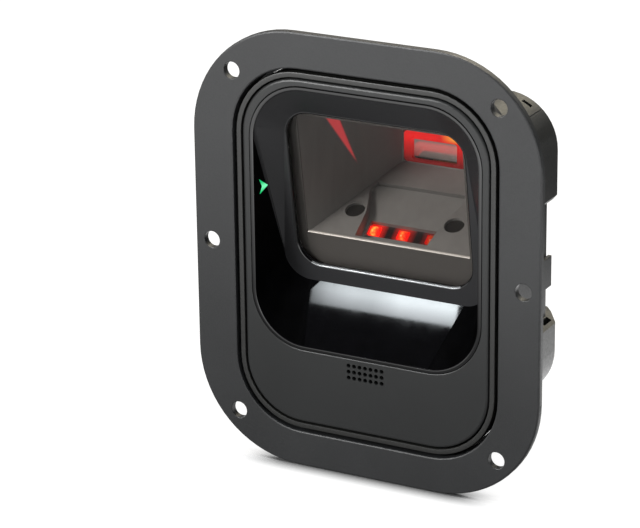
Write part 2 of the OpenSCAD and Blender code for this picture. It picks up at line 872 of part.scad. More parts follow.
module fold_mirror() {
    color([0.75, 0.78, 0.8])
    translate([0, front_y + chamber_back + cheek_depth / 2, port_z]) rotate([mirror_tilt, 0, 0])
        cube([2 * cheek_in - 2 * fit, mirror_l, mirror_t], center = true);
}

module camera_board() {
    color([0.1, 0.35, 0.2])
    translate([-camera_board_w / 2, front_y + chamber_back - camera_board_front, cheek_top])
        cube([camera_board_w, camera_board_l, camera_board_t]);
}

module image_sensor() {
    color([0.15, 0.15, 0.18])
    translate([-sensor_w / 2, front_y + camera_depth - sensor_l / 2, cheek_top - sensor_t])
        cube([sensor_w, sensor_l, sensor_t]);
}

module lens_holder() {
    color([0.1, 0.1, 0.1])
    translate([0, front_y + camera_depth, cheek_top - holder_h / 2])
    difference() {
        cube([holder_w, holder_l, holder_h], center = true);
        translate([0, 0, spare]) cube([sensor_w + 2 * fit, sensor_l + 2 * fit, holder_h], center = true);
        cylinder(d = barrel_d - 2 * holder_lip, h = 2 * holder_h, center = true);
    }
}

module lens_barrel() {
    color([0.06, 0.06, 0.06])
    translate([0, front_y + camera_depth, cheek_top - holder_h - barrel_l])
    difference() {
        cylinder(d = barrel_d, h = barrel_l);
        translate([0, 0, -spare]) cylinder(d = barrel_d - 2 * barrel_wall, h = barrel_l + 2 * spare);
        translate([0, 0, -spare]) cylinder(d = lens_d + 2 * screw_gap, h = lens_t + spare);
    }
}

module front_lens() {
    color([0.6, 0.7, 0.85, 0.6])
    translate([0, front_y + camera_depth, cheek_top - holder_h - barrel_l])
        intersection() {
            cylinder(d = lens_d, h = lens_t);
            translate([0, 0, lens_curve_r + lens_sink]) sphere(r = lens_curve_r);
        }
}

module led_board() {
    color([0.1, 0.3, 0.18])
    on_trough() translate([-led_board_w / 2, led_up - led_slot_l / 2 - led_board_lap, -chamber_t - board_t])
        cube([led_board_w, led_slot_l + 2 * led_board_lap, board_t]);
}

module red_leds() {
    color([0.9, 0.1, 0.05])
    for (i = [0 : led_count - 1])
        on_trough() translate([(i - (led_count - 1) / 2) * led_pitch, led_up, -chamber_t]) {
            translate([-led_package[0] / 2, -led_package[1] / 2, 0]) cube(led_package);
            translate([0, 0, led_package[2]]) intersection() {
                translate([0, 0, -led_dome_sink]) sphere(r = led_dome_r);
                cylinder(r = 2 * led_dome_r, h = led_dome_r);
            }
        }
}

module sensor_window(side) {
    color([0.08, 0.07, 0.07])
    on_deck() translate([side * sensor_pitch / 2, sensor_up, -sensor_stem])
        cylinder(d = sensor_d - 2 * screw_gap, h = sensor_stem - sensor_sink);
}

module sensor_window_left() sensor_window(-1);

module sensor_window_right() sensor_window(1);

// The chevron of the right-hand good-read lens, pointing into the funnel
module good_read_shape(grow, from, to) {
    half = lens_rise / 2 + grow;
    tail = lens_depth - 2 * grow;
    arm = tail + lens_arm + 3 * grow;
    translate([from, front_y, lens_z]) rotate([90, 0, 90]) linear_extrude(to - from)
        polygon([[tail, half], [arm, half], [arm + lens_point + grow, 0], [arm, -half], [tail, -half],
            [tail + lens_point, 0]]);
}

module good_read_lens(side) {
    color([0.15, 0.8, 0.45]) mirror([side < 0 ? 1 : 0, 0, 0]) good_read_shape(0, lens_in, lens_out);
}

module good_read_lens_left() good_read_lens(-1);

module good_read_lens_right() good_read_lens(1);

module good_read_led(side) {
    color([0.9, 0.9, 0.85])
    mirror([side < 0 ? 1 : 0, 0, 0]) {
        layer(lens_z - led_h / 2, lens_z + led_h / 2)
            translate([lens_out, led_front]) square([led_thick, led_l]);
        layer(lens_z - led_strip_low, lens_z + led_strip_high)
            translate([lens_out + led_thick, led_front]) square([led_strip_t, led_strip_l]);
    }
}

module good_read_led_left() good_read_led(-1);

module good_read_led_right() good_read_led(1);

module speaker_gasket() {
    color([0.12, 0.12, 0.13])
    difference() {
        slab(bezel_back, gasket_t) translate([0, grille_z]) rounded(gasket_w, gasket_h, gasket_r);
        slab(bezel_back - spare, gasket_t + 2 * spare)
            translate([0, grille_z])
                rounded(gasket_w - 2 * gasket_wall, gasket_h - 2 * gasket_wall, gasket_in_r);
    }
}

module speaker() {
    color([0.3, 0.3, 0.32]) {
        slab(bezel_back + gasket_t, speaker_t)
            translate([0, grille_z]) rounded(speaker_w, speaker_h, speaker_r);
        bar(0, bezel_back + gasket_t + speaker_t - skin, grille_z, magnet_d, magnet_t);
    }
}

module main_board() {
    color([0.08, 0.32, 0.2])
    difference() {
        slab(main_board_depth, board_t)
            translate([0, main_board_z]) rounded(main_board_w, main_board_h, main_board_r);
        for (sx = [-1, 1], sz = [-1, 1])
            bar(sx * post_x, main_board_depth - spare, main_board_z + sz * post_z,
                small_screw_d + 4 * screw_gap, board_t + 2 * spare);
    }
}

module chip(at, size) {
    slab(main_board_depth - size[2], size[2])
        translate([at[0], main_board_z + at[1]]) square([size[0], size[1]], center = true);
}

module processor() {
    color([0.1, 0.1, 0.1]) chip(processor_at, processor_size);
}

module memory_chips() {
    color([0.12, 0.12, 0.12])
    for (at = memory_at)
        chip(at, memory_size);
}

module shield_can() {
    color([0.75, 0.75, 0.76])
    difference() {
        chip(shield_at, shield_size);
        translate([0, spare, 0])
            chip(shield_at, shield_size - [2 * shield_wall, 2 * shield_wall, shield_wall - spare]);
    }
}

module cable_socket() {
    color([0.07, 0.07, 0.08])
    difference() {
        slab(board_back, socket_depth - board_back)
            translate([0, socket_z]) square([socket_w, socket_h], center = true);
        slab(socket_depth - plug_l, plug_l + spare) translate([0, plug_z]) {
            square([plug_w, plug_h], center = true);
            translate([0, -plug_h / 2 - latch_h / 2]) square([plug_w / 2, latch_h + skin], center = true);
        }
    }
}

module socket_contacts() {
    color([0.85, 0.68, 0.3])
    for (i = [0 : contact_count - 1])
        translate([(i - (contact_count - 1) / 2) * contact_pitch - contact_w / 2, 0, plug_z + plug_h / 2])
            layer(-contact_t, 0) translate([0, socket_depth - plug_l]) square([contact_w, contact_l]);
}

// The ribbon drops from the camera board behind the mirror to the main board
module camera_ribbon() {
    top = cheek_top - ribbon_t;
    low = main_board_z + main_board_h / 2 - ribbon_lap;
    back = chamber_back + cheek_depth + ribbon_gap;
    start = camera_depth + holder_l / 2 + fit;
    color([0.75, 0.45, 0.15])
    translate([-ribbon_w / 2, front_y, 0]) {
        translate([0, start, top]) cube([ribbon_w, back - start, ribbon_t]);
        translate([0, back, low]) cube([ribbon_w, ribbon_t, top - low + ribbon_t]);
        translate([0, board_back, low]) cube([ribbon_w, back - board_back + ribbon_t, ribbon_t]);
    }
}

module board_screws() {
    color([0.7, 0.7, 0.72])
    for (sx = [-1, 1], sz = [-1, 1])
        translate([sx * post_x, front_y + main_board_depth, main_board_z + sz * post_z])
            mirror([0, 1, 0]) screw(small_screw_d, board_screw_l, small_head_d, board_head_h);
}

module housing_screws() {
    color([0.15, 0.15, 0.16])
    for (s = [-1, 1]) {
        translate([s * low_screw_x, front_y + low_seat, low_screw_z])
            screw(screw_d, low_seat - low_joint + thread_l - screw_tip, head_d, head_h);
        translate([s * high_screw_x, front_y + high_seat, high_screw_z])
            screw(screw_d, high_seat - chamber_back + high_thread_l - screw_tip, head_d, head_h);
    }
}

mounting_flange();
rear_housing();
front_bezel();
bezel_seal();
window_surround();
window_seal();
window_pane();
optical_chamber();
chamber_screws();
light_frame();
fold_mirror();
camera_board();
image_sensor();
lens_holder();
lens_barrel();
front_lens();
led_board();
red_leds();
sensor_window_left();
sensor_window_right();
good_read_lens_left();
good_read_lens_right();
good_read_led_left();
good_read_led_right();
speaker();
speaker_gasket();
main_board();
processor();
memory_chips();
shield_can();
cable_socket();
socket_contacts();
camera_ribbon();
board_screws();
housing_screws();
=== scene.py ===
import bmesh
import bpy
import math
from mathutils import Matrix, Vector


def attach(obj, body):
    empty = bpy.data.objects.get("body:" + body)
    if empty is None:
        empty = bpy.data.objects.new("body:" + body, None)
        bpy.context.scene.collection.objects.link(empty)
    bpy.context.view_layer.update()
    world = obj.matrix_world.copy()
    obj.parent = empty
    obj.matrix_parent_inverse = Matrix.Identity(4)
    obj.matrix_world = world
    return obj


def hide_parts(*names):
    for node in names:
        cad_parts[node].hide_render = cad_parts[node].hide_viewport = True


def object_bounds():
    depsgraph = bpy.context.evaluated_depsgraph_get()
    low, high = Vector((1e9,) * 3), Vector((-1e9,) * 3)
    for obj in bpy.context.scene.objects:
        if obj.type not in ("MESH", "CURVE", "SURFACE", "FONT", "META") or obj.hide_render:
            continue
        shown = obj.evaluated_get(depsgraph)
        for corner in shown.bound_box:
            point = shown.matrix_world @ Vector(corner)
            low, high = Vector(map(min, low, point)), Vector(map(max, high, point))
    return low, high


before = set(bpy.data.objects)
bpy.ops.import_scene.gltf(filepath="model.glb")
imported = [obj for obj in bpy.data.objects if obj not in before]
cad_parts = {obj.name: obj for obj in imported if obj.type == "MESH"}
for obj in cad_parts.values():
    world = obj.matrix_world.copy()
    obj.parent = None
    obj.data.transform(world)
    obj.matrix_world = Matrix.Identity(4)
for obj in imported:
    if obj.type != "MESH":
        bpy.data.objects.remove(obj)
cad_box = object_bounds()
scene = bpy.context.scene
scene.view_settings.view_transform = "Standard"

# The camera: a long lens to the right of the reader and a little above it, as a product shot is taken.
# It looks at a point left of the head's middle, so that the head sits right of the picture's middle.
camera = bpy.data.objects.new("camera", bpy.data.cameras.new("camera"))
scene.collection.objects.link(camera)
camera.data.sensor_width = 36
camera.data.lens = 171.2
look_at = Vector((-0.014, -0.0022, -0.00185))
distance = 0.86667
turn, rise, lean = (math.radians(a) for a in (28.345, 20.152, -0.746))
back = Vector((math.sin(turn) * math.cos(rise), -math.cos(turn) * math.cos(rise), math.sin(rise)))
level = Vector((math.cos(turn), math.sin(turn), 0))
right = level * math.cos(lean) + back.cross(level) * math.sin(lean)
place = Matrix((right, back.cross(right), back)).transposed().to_4x4()
place.translation = look_at + back * distance
camera.matrix_world = place
scene.camera = camera


# The studio: a white paper sweep that the flange's lower edge stands on, in a white room.
# The paper is matt; it is seen as white, and still takes the thin shadow under the reader.
# Three softboxes light it: one overhead, the key in front on the left, and a warm one behind.
def linear(code):
    parts = [int(code[i:i + 2], 16) / 255 for i in (1, 3, 5)]
    return [p / 12.92 if p < 0.04045 else ((p + 0.055) / 1.055) ** 2.4 for p in parts] + [1.0]


def add(owner, kind, values=(), links=(), **settings):
    made = owner.node_tree.nodes.new("ShaderNode" + kind)
    for name, value in settings.items():
        setattr(made, name, value)
    for socket, value in dict(values).items():
        made.inputs[socket].default_value = value
    for socket, source in dict(links).items():
        output = source.outputs[0] if isinstance(source, bpy.types.Node) else source
        owner.node_tree.links.new(output, made.inputs[socket])
    return made


def blank(kind, name):
    made = kind.new(name)
    made.use_nodes = True
    made.node_tree.nodes.clear()
    return made


paper = blank(bpy.data.materials, "white_sweep_paper")
seen = add(paper, "LightPath")
direct = add(paper, "Math", {},
             {0: seen.outputs["Is Camera Ray"], 1: seen.outputs["Is Glossy Ray"]}, operation="MAXIMUM")
nearby = add(paper, "AmbientOcclusion", {"Distance": 0.009}, samples=16)
open_air = add(paper, "MapRange", {"From Min": 0.5, "From Max": 0.88}, {"Value": nearby.outputs["AO"]})
sheet = add(paper, "BsdfDiffuse", {"Color": linear("#606060")})
lift = add(paper, "Math", {1: 0.95}, {0: direct}, operation="MULTIPLY")
level = add(paper, "Math", {}, {0: lift, 1: open_air}, operation="MULTIPLY")
glow = add(paper, "Emission", {"Color": (1, 1, 1, 1)}, {"Strength": level})
both = add(paper, "AddShader", {}, {0: sheet, 1: glow})
add(paper, "OutputMaterial", {}, {"Surface": both})


def as_mesh(name, shape):
    mesh = bpy.data.meshes.new(name)
    shape.to_mesh(mesh)
    shape.free()
    return mesh


def stand(name, shape, material):
    made = bpy.data.objects.new(name, as_mesh(name, shape))
    made.data.materials.append(material)
    scene.collection.objects.link(made)
    return made


floor_z = cad_box[0][2]
sweep = bmesh.new()
bmesh.ops.create_grid(sweep, x_segments=1, y_segments=1, size=3)
bmesh.ops.translate(sweep, vec=(0, 0, floor_z - 0.0001), verts=sweep.verts)
stand("floor", sweep, paper)

room = blank(bpy.data.worlds, "studio_room")
scene.world = room
seen = add(room, "LightPath")
straight = add(room, "Math", {}, {0: seen.outputs["Is Camera Ray"], 1: seen.outputs["Is Transmission Ray"]},
               operation="MAXIMUM")
direct = add(room, "Math", {}, {0: straight, 1: seen.outputs["Is Glossy Ray"]}, operation="MAXIMUM")
white = add(room, "Background", {"Color": (1, 1, 1, 1), "Strength": 1})
fill = add(room, "Background", {"Color": linear("#f1f5f8"), "Strength": 0.55})
mixed = add(room, "MixShader", {}, {0: direct, 1: fill, 2: white})
add(room, "OutputWorld", {}, {"Surface": mixed})


def lamp(name, watts, size, spot, aim, colour="#ffffff"):
    made = bpy.data.objects.new(name, bpy.data.lights.new(name, "AREA"))
    made.data.energy = watts
    made.data.shape = "RECTANGLE"
    made.data.size, made.data.size_y = size
    made.data.color = linear(colour)[:3]
    made.location = spot
    made.rotation_euler = (Vector(aim) - Vector(spot)).to_track_quat("-Z", "Y").to_euler()
    scene.collection.objects.link(made)
    return made


lamp("overhead_softbox", 5, (0.5, 0.4), (0.22, -0.24, 0.74), (0, 0, 0.02)).visible_glossy = False
lamp("key_softbox", 10, (0.25, 0.25), (-0.52, -0.76, 0.38), (0, 0.01, 0.015))
lamp("rear_softbox", 6, (0.4, 0.3), (-0.05, 0.42, 0.80), (0.03, 0.02, 0.02), "#fff4e0")


# The cards round the reader, out of the camera's sight, as a photographer sets them for black gloss.
# Only shiny surfaces see them: a black tent in front, a strip light above it, a grey card on the table,
# and behind the reader a warm card between a grey flag and a black one.
def hide(made):
    made.visible_camera = False
    made.visible_diffuse = False
    made.visible_shadow = False
    made.visible_transmission = False


def card(name, size, spot, aim, material):
    shape = bmesh.new()
    bmesh.ops.create_grid(shape, x_segments=1, y_segments=1, size=0.5)
    bmesh.ops.scale(shape, vec=(size[0], size[1], 1), verts=shape.verts)
    facing = (Vector(aim) - Vector(spot)).normalized()
    along = Vector((1, 0, 0)) - facing * facing.x
    along.normalize()
    turned = Matrix((along, facing.cross(along), facing)).transposed().to_4x4()
    turned.translation = Vector(spot)
    bmesh.ops.transform(shape, matrix=turned, verts=shape.verts)
    hide(stand(name, shape, material))


# Black velvet: it keeps the gloss dark where it faces the tent.
velvet = blank(bpy.data.materials, "black_velvet_tent")
dark = add(velvet, "Emission", {"Color": linear("#1a1a1c"), "Strength": 1})
add(velvet, "OutputMaterial", {}, {"Surface": dark})
tent = bmesh.new()
bmesh.ops.create_uvsphere(tent, u_segments=48, v_segments=24, radius=0.95)
for spot, away in (((0, 0, 0.1), (0, 0, -1)), ((0, 0.45, 0), (0, 1, 0))):
    everything = list(tent.verts) + list(tent.edges) + list(tent.faces)
    bmesh.ops.bisect_plane(tent, geom=everything, dist=0.0001, plane_co=spot, plane_no=away, clear_outer=True)
hide(stand("black_tent", tent, velvet))

# The strip light's white diffuser: brighter towards its ends, fading on the left and along its lower edge.
tube = blank(bpy.data.materials, "strip_light_diffuser")
where = add(tube, "TexCoord").outputs["Object"]
across = add(tube, "SeparateXYZ", {}, {0: where})
middle = add(tube, "Math", {1: 0.2614}, {0: across.outputs["X"]}, operation="ADD")
off = add(tube, "Math", {}, {0: middle}, operation="ABSOLUTE")
ends = add(tube, "MapRange", {"From Min": 0.004, "From Max": 0.016, "To Min": 18, "To Max": 25},
           {"Value": off})
wing = add(tube, "MapRange", {"From Min": -0.284, "From Max": -0.266, "To Min": 0.28, "To Max": 1},
           {"Value": across.outputs["X"]})
lower = add(tube, "VectorMath", {1: (0, -0.881, -0.472)}, {0: where}, operation="DOT_PRODUCT")
fade = add(tube, "MapRange", {"From Min": 0.0121, "From Max": 0.0203, "To Min": 1, "To Max": 0.42},
           {"Value": lower.outputs["Value"]})
part = add(tube, "Math", {}, {0: ends, 1: wing}, operation="MULTIPLY")
level = add(tube, "Math", {}, {0: part, 1: fade}, operation="MULTIPLY")
bright = add(tube, "Emission", {"Color": linear("#eef6fa")}, {"Strength": level})
add(tube, "OutputMaterial", {}, {"Surface": bright})
chin = Vector((0.002, 0.004, -0.021))
strip_way = Vector((-0.4457, -0.4203, 0.7842))
strip_shift = Vector((0.013, -0.0098, 0.0021))
card("strip_light", (0.071, 0.012), chin + strip_way * 0.6 + strip_shift, chin, tube)

# Painted cards behind the reader: the housing's top mirrors the warm one, and the flags keep its side dark.
backdrop = blank(bpy.data.materials, "warm_backdrop_card")
lit = add(backdrop, "Emission", {"Color": linear("#fff6dc"), "Strength": 3})
add(backdrop, "OutputMaterial", {}, {"Surface": lit})
grey_flag = blank(bpy.data.materials, "grey_flag_card")
dull = add(grey_flag, "Emission", {"Color": linear("#ffffff"), "Strength": 0.2})
add(grey_flag, "OutputMaterial", {}, {"Surface": dull})
card("rear_flag", (0.8, 0.5), Vector((-0.45, 0.83, 0.33)), Vector((0, 0, 0)), grey_flag)
card("side_flag", (1.1, 0.5), Vector((0.40, 0.83, 0.10)), Vector((0.03, 0.03, 0)), velvet)
card("rear_card", (0.45, 0.3), Vector((0.0, 0.75, 0.5)), Vector((0.03, 0.03, 0)), backdrop)

# The table's card: pale well in front, where the flange mirrors it, and under the housing; dark elsewhere.
table = blank(bpy.data.materials, "grey_table_card")
where = add(table, "TexCoord").outputs["Object"]
across = add(table, "SeparateXYZ", {}, {0: where})
ahead = add(table, "MapRange", {"From Min": -0.1, "From Max": -0.3, "To Min": 0.29, "To Max": 2.65},
            {"Value": across.outputs["Y"]})
close = add(table, "MapRange", {"From Min": 0.01, "From Max": 0.05, "To Min": 0, "To Max": 1.8},
            {"Value": across.outputs["Y"]})
far = add(table, "MapRange", {"From Min": 0.12, "From Max": 0.2, "To Min": 1, "To Max": 0.01},
          {"Value": across.outputs["Y"]})
beside = add(table, "MapRange", {"From Min": -0.2, "From Max": 0, "To Min": 0.9, "To Max": 1.5},
             {"Value": across.outputs["X"]})
front = add(table, "Math", {}, {0: ahead, 1: beside}, operation="MULTIPLY")
total = add(table, "Math", {}, {0: front, 1: close}, operation="ADD")
level = add(table, "Math", {}, {0: total, 1: far}, operation="MULTIPLY")
shade = add(table, "Emission", {"Color": (1, 1, 1, 1)}, {"Strength": level})
add(table, "OutputMaterial", {}, {"Surface": shade})
card("grey_table", (1.2, 1.2), Vector((0, 0, floor_z + 0.0003)), Vector((0, 0, 1)), table)


# The mounting flange: one plate moulded in black glass-filled nylon, with a collar behind its opening.
# Six holes take the panel's screws, and two spring arms behind the collar snap into the head's sides.
def rounded_loop(shape, w, h, r, depth, z=0.0, low=None, steps=12):
    signs = ((-1, -1), (1, -1), (1, 1), (-1, 1))
    corners = [shape.verts.new((x * w / 2, depth, z + s * h / 2)) for x, s in signs]
    shape.faces.new(corners)
    for pair, radius in ((corners[:2], low or r), (corners[2:], r)):
        made = bmesh.ops.bevel(shape, geom=pair, offset=radius, offset_type="OFFSET", segments=steps,
                               profile=0.5, affect="VERTICES", material=-1)
    panel = made["verts"][0].link_faces[0]
    edges = list(panel.edges)
    bmesh.ops.delete(shape, geom=[panel], context="FACES_ONLY")
    return edges


def sweep_round(shape, loops):
    for near, far in zip(loops, loops[1:]):
        bmesh.ops.bridge_loops(shape, edges=near + far)
    return loops[0], loops[-1]


# The edges, faces or points next to some others, in a fixed order, so that each run gives the same mesh.
def touching(parts, kind):
    return list(dict.fromkeys(near for part in parts for near in getattr(part, kind)))


def round_loop(shape, x, depth, z, radius, steps=32):
    at = Matrix.Translation((x, depth, z)) @ Matrix.Rotation(math.pi / 2, 4, "X")
    made = bmesh.ops.create_circle(shape, cap_ends=False, segments=steps, radius=radius, matrix=at)
    return touching(made["verts"], "link_edges")


def fill_flat(shape, edges, facing):
    bmesh.ops.triangle_fill(shape, use_beauty=True, use_dissolve=False, edges=edges, normal=facing)


def prism(shape, outline, move, edge=0.0):
    verts = [shape.verts.new(p) for p in outline]
    grown = bmesh.ops.extrude_discrete_faces(shape, faces=[shape.faces.new(verts)])
    far = list(grown["faces"][0].verts)
    bmesh.ops.translate(shape, vec=move, verts=far)
    # The extrusion takes the first face with it, so the base is closed again.
    shape.faces.new(verts)
    bmesh.ops.recalc_face_normals(shape, faces=touching(verts + far, "link_faces"))
    if edge:
        bmesh.ops.bevel(shape, geom=touching(verts + far, "link_edges"), offset=edge, offset_type="OFFSET",
                        segments=2, profile=0.5, affect="EDGES", material=-1)


# The pieces are drawn in millimetres behind the flange's front, which the frame has at y = -2.2 mm.
FRONT = -2.2


def piece(name, shape, material, slot, *nodes, sharp=38, flat=60, plane=(0, -1, 0)):
    bmesh.ops.remove_doubles(shape, verts=shape.verts, dist=0.0005)
    bmesh.ops.recalc_face_normals(shape, faces=shape.faces)
    # Large faces, and those level with the given plane, stay flat, so that they mirror without a bend.
    for face in shape.faces:
        face.smooth = face.calc_area() < flat and abs(face.normal.dot(Vector(plane))) < 0.99999
    bmesh.ops.translate(shape, vec=(0, FRONT, 0), verts=shape.verts)
    bmesh.ops.scale(shape, vec=(0.001, 0.001, 0.001), verts=shape.verts)
    for edge in shape.edges:
        edge.smooth = len(edge.link_faces) == 2 and edge.calc_face_angle() < math.radians(sharp)
    made = bpy.data.objects.new(name, as_mesh(name, shape))
    made.data.materials.append(material)
    scene.collection.objects.link(made)
    even = made.modifiers.new("even_normals", "WEIGHTED_NORMAL")
    even.weight = 100
    even.keep_sharp = True
    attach(made, "root")
    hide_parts(*nodes)
    return made


# Spark-eroded nylon: a fine even grain that breaks the light into a soft grey sheen.
# The real grain is about 0.25 mm; it is drawn at 0.6 mm so that it shows in the picture.
nylon = blank(bpy.data.materials, "black_glass_filled_nylon")
where = add(nylon, "TexCoord").outputs["Object"]
grain = add(nylon, "TexNoise", {"Scale": 1 / 0.0006, "Detail": 3, "Roughness": 0.65}, {"Vector": where})
cloud = add(nylon, "TexNoise", {"Scale": 1 / 0.03, "Detail": 2}, {"Vector": where})
tone = add(nylon, "MapRange", {"From Min": 0.3, "From Max": 0.7, "To Min": 0.0, "To Max": 1.0},
           {"Value": cloud})
tint = add(nylon, "Mix", {6: linear("#191a1b"), 7: linear("#202122")}, {0: tone}, data_type="RGBA")
gloss = add(nylon, "MapRange", {"From Min": 0.3, "From Max": 0.7, "To Min": 0.42, "To Max": 0.54},
            {"Value": grain})
pits = add(nylon, "Bump", {"Strength": 0.16, "Distance": 0.0002}, {"Height": grain})
skin = add(nylon, "BsdfPrincipled", {"IOR": 1.53},
           {"Base Color": tint.outputs[2], "Roughness": gloss, "Normal": pits})
add(nylon, "OutputMaterial", {}, {"Surface": skin})

flange_w, flange_h, flange_r, plate = 109.4, 131.4, 32.5, 2.2
rim_w, rim_h, rim_r = 81.6, 108, 20
hole_x, hole_z, side_hole_x = 41.65, 52, 49.45
arm_low, arm_h = -17.55, 9.5


def rim_loop(shape, inset, depth):
    return rounded_loop(shape, rim_w - 2 * inset, rim_h - 2 * inset, rim_r - inset, depth)


flange = bmesh.new()
opening = [rim_loop(flange, i, t) for i, t in (
    (-1.45, 0), (-1.13, 0.13), (-1, 0.45), (-1, 6.98), (-0.1, 7.02), (-0.1, 8), (-2.5, 7.97), (-2.8, 7.7),
    (-2.8, plate))]
rim_front, collar_foot = sweep_round(flange, opening)
border = [rounded_loop(flange, flange_w - 2 * i, flange_h - 2 * i, flange_r - i, t, steps=18) for i, t in (
    (0.55, 0), (0.16, 0.16), (0, 0.55), (0, 1.9), (0.3, plate))]
edge_front, edge_back = sweep_round(flange, border)
fronts, backs = [], []
for x, z in ((-hole_x, hole_z), (hole_x, hole_z), (-hole_x, -hole_z), (hole_x, -hole_z),
             (-side_hole_x, 0), (side_hole_x, 0)):
    bore = [round_loop(flange, x, t, z, r) for r, t in ((2.7, 0), (2.54, 0.08), (2.5, 0.25), (2.5, plate))]
    near, far = sweep_round(flange, bore)
    fronts += near
    backs += far
fill_flat(flange, rim_front + edge_front + fronts, (0, -1, 0))
fill_flat(flange, collar_foot + edge_back + backs, (0, 1, 0))
arm = ((41.9, 2.3), (41.9, 8), (34.05, 23.5), (34.05, 44.5), (32.65, 44.5), (32.65, 45.5), (34.05, 47.5),
       (34.05, 51.5), (35.25, 51.5), (35.25, 23.5), (43.5, 8), (43.5, 2.3))
for s in (-1, 1):
    prism(flange, [(s * x, t, arm_low) for x, t in arm], (0, 0, arm_h), edge=0.2)
piece("panel_flange", flange, nylon, "flange_plastic", "mounting_flange")

# The rear housing: a deep moulded shell whose front rim shows as a ring inside the flange.
# Its sides are let in for the spring arms, and four screws and the cable's socket come in from the back.

# Moulded ABS with an eroded grain: black with a slightly warm sheen, and livelier gloss than the flange.
# The real grain is about 0.3 mm; it is drawn at 0.7 mm so that it shows in the picture.
moulded = blank(bpy.data.materials, "black_abs_shell")
where = add(moulded, "TexCoord").outputs["Object"]
grain = add(moulded, "TexNoise", {"Scale": 1 / 0.0007, "Detail": 3, "Roughness": 0.6}, {"Vector": where})
tint = add(moulded, "Mix", {6: linear("#151615"), 7: linear("#1e1e1c")}, {0: grain}, data_type="RGBA")
gloss = add(moulded, "MapRange", {"From Min": 0.3, "From Max": 0.7, "To Min": 0.36, "To Max": 0.5},
            {"Value": grain})
pits = add(moulded, "Bump", {"Strength": 0.14, "Distance": 0.0002}, {"Height": grain})
skin = add(moulded, "BsdfPrincipled", {"IOR": 1.53},
           {"Base Color": tint.outputs[2], "Roughness": gloss, "Normal": pits})
add(moulded, "OutputMaterial", {}, {"Surface": skin})

body_w, body_h, body_r, body_z = 74.4, 94, 16, -6.2
recess_x, recess_low, recess_top = 33.9, -27, 8
corner_x, corner_z = 21.2, 24.8
screw_x, low_screw_z, high_screw_z = 19, -40.4, 29.9
bore_r, post_r, post_back = 2.7, 3, 57
socket_x, socket_low, socket_top = 7.65, -29.65, -16.35

shell = bmesh.new()
inner = [rounded_loop(shell, w, h, r, t, z) for w, h, r, t, z in (
    (51.6, 78, 6, 56, body_z), (63.6, 90, 12, 50.5, body_z), (63.6, 90, 12, 16, body_z),
    (74.4, 100.8, 16.4, 7.4, 0))]
rim = [rim_loop(shell, i, t) for i, t in (
    (1.6, 7.4), (1.6, 0.55), (1.5, 0.37), (1.3, 0.32), (0.4, 0.3), (0.12, 0.42), (0, 0.7), (0, 7.7),
    (0.1, 8.4))]
outer = [rounded_loop(shell, body_w - 2 * i, body_h - 2 * i, body_r - i, t, body_z) for i, t in (
    (-0.15, 15.4), (0, 16.4), (0, 49.9), (0.06, 50.4), (0.3, 50.9), (5.75, 57.6), (6.1, 57.9), (6.6, 58))]
floor_loop, back_loop = sweep_round(shell, inner + rim + outer)
fill_flat(shell, floor_loop, (0, -1, 0))
fill_flat(shell, back_loop, (0, 1, 0))
bmesh.ops.recalc_face_normals(shell, faces=shell.faces)


def oblong(x0, z0, x1, z1):
    return (x0, z0), (x1, z0), (x1, z1), (x0, z1)


def bar(shape, x, z, radius, near, far):
    at = Matrix.Translation((x, (near + far) / 2, z)) @ Matrix.Rotation(math.pi / 2, 4, "X")
    bmesh.ops.create_cone(shape, cap_ends=True, segments=36, radius1=radius, radius2=radius,
                          depth=far - near, matrix=at)


# The side recesses in plan, and the slanted ends that bound them: their overlap is cut away.
recess_plan = ((39, 16.5), (37.2, 16.5), (recess_x, 21.5), (recess_x, 50.5), (26.3, 60), (39, 60))
recess_side = ((25, recess_low), (recess_x, recess_low), (39.5, -29.8), (39.5, 13.6), (recess_x, recess_top),
               (25, recess_top))
cuts, ends, slots, posts = (bmesh.new() for _ in range(4))
for s in (-1, 1):
    prism(cuts, [(s * x, t, 40) for x, t in recess_plan], (0, 0, -80))
    prism(ends, [(s * x, 10, z) for x, z in recess_side], (0, 52, 0))
    # A notch at the recess's foot, the slot for the arm's barb, and a slit and a groove in the upper corner.
    prism(slots, [(s * x, 45.5, z) for x, z in oblong(34.3, -27.2, 35.9, -30.5)], (0, 5, 0))
    prism(slots, [(s * x, 44.2, z) for x, z in oblong(32.5, -17.9, 34.2, -7.7)], (0, 3.6, 0))
    corner = Matrix.Translation((s * corner_x, 0, corner_z))
    slit = corner @ Matrix.Rotation(-s * math.radians(61), 4, "Y")
    prism(slots, [slit @ Vector((s * x, 46, z)) for x, z in oblong(14.8, -1.6, 17.5, 1.6)], (0, 1.5, 0))
    groove = corner @ Matrix.Rotation(-s * math.radians(47), 4, "Y")
    prism(slots, [groove @ Vector((s * x, 16.2, z)) for x, z in oblong(15.6, -0.2, 17.5, 0.2)], (0, 45, 0))
    # Each screw sits in a bore, in a post inside the shell.
    for z, bore_foot, post_front in ((low_screw_z, 36, 32.2), (high_screw_z, 51, 47.1)):
        bar(slots, s * screw_x, z, bore_r, bore_foot, bore_foot + 30)
        bar(posts, s * screw_x, z, post_r, post_front, post_back)
prism(slots, [(x, 50, z) for x, z in oblong(-socket_x, socket_low, socket_x, socket_top)], (0, 12, 0))


def carve(body, tool, kind):
    made = bpy.data.objects.new("carved", body)
    cutter = bpy.data.objects.new("cutter", tool)
    scene.collection.objects.link(made)
    scene.collection.objects.link(cutter)
    cut = made.modifiers.new("cut", "BOOLEAN")
    cut.operation = kind
    cut.solver = "EXACT"
    cut.object = cutter
    result = bpy.data.meshes.new_from_object(made.evaluated_get(bpy.context.evaluated_depsgraph_get()))
    bpy.data.objects.remove(made)
    bpy.data.objects.remove(cutter)
    return result


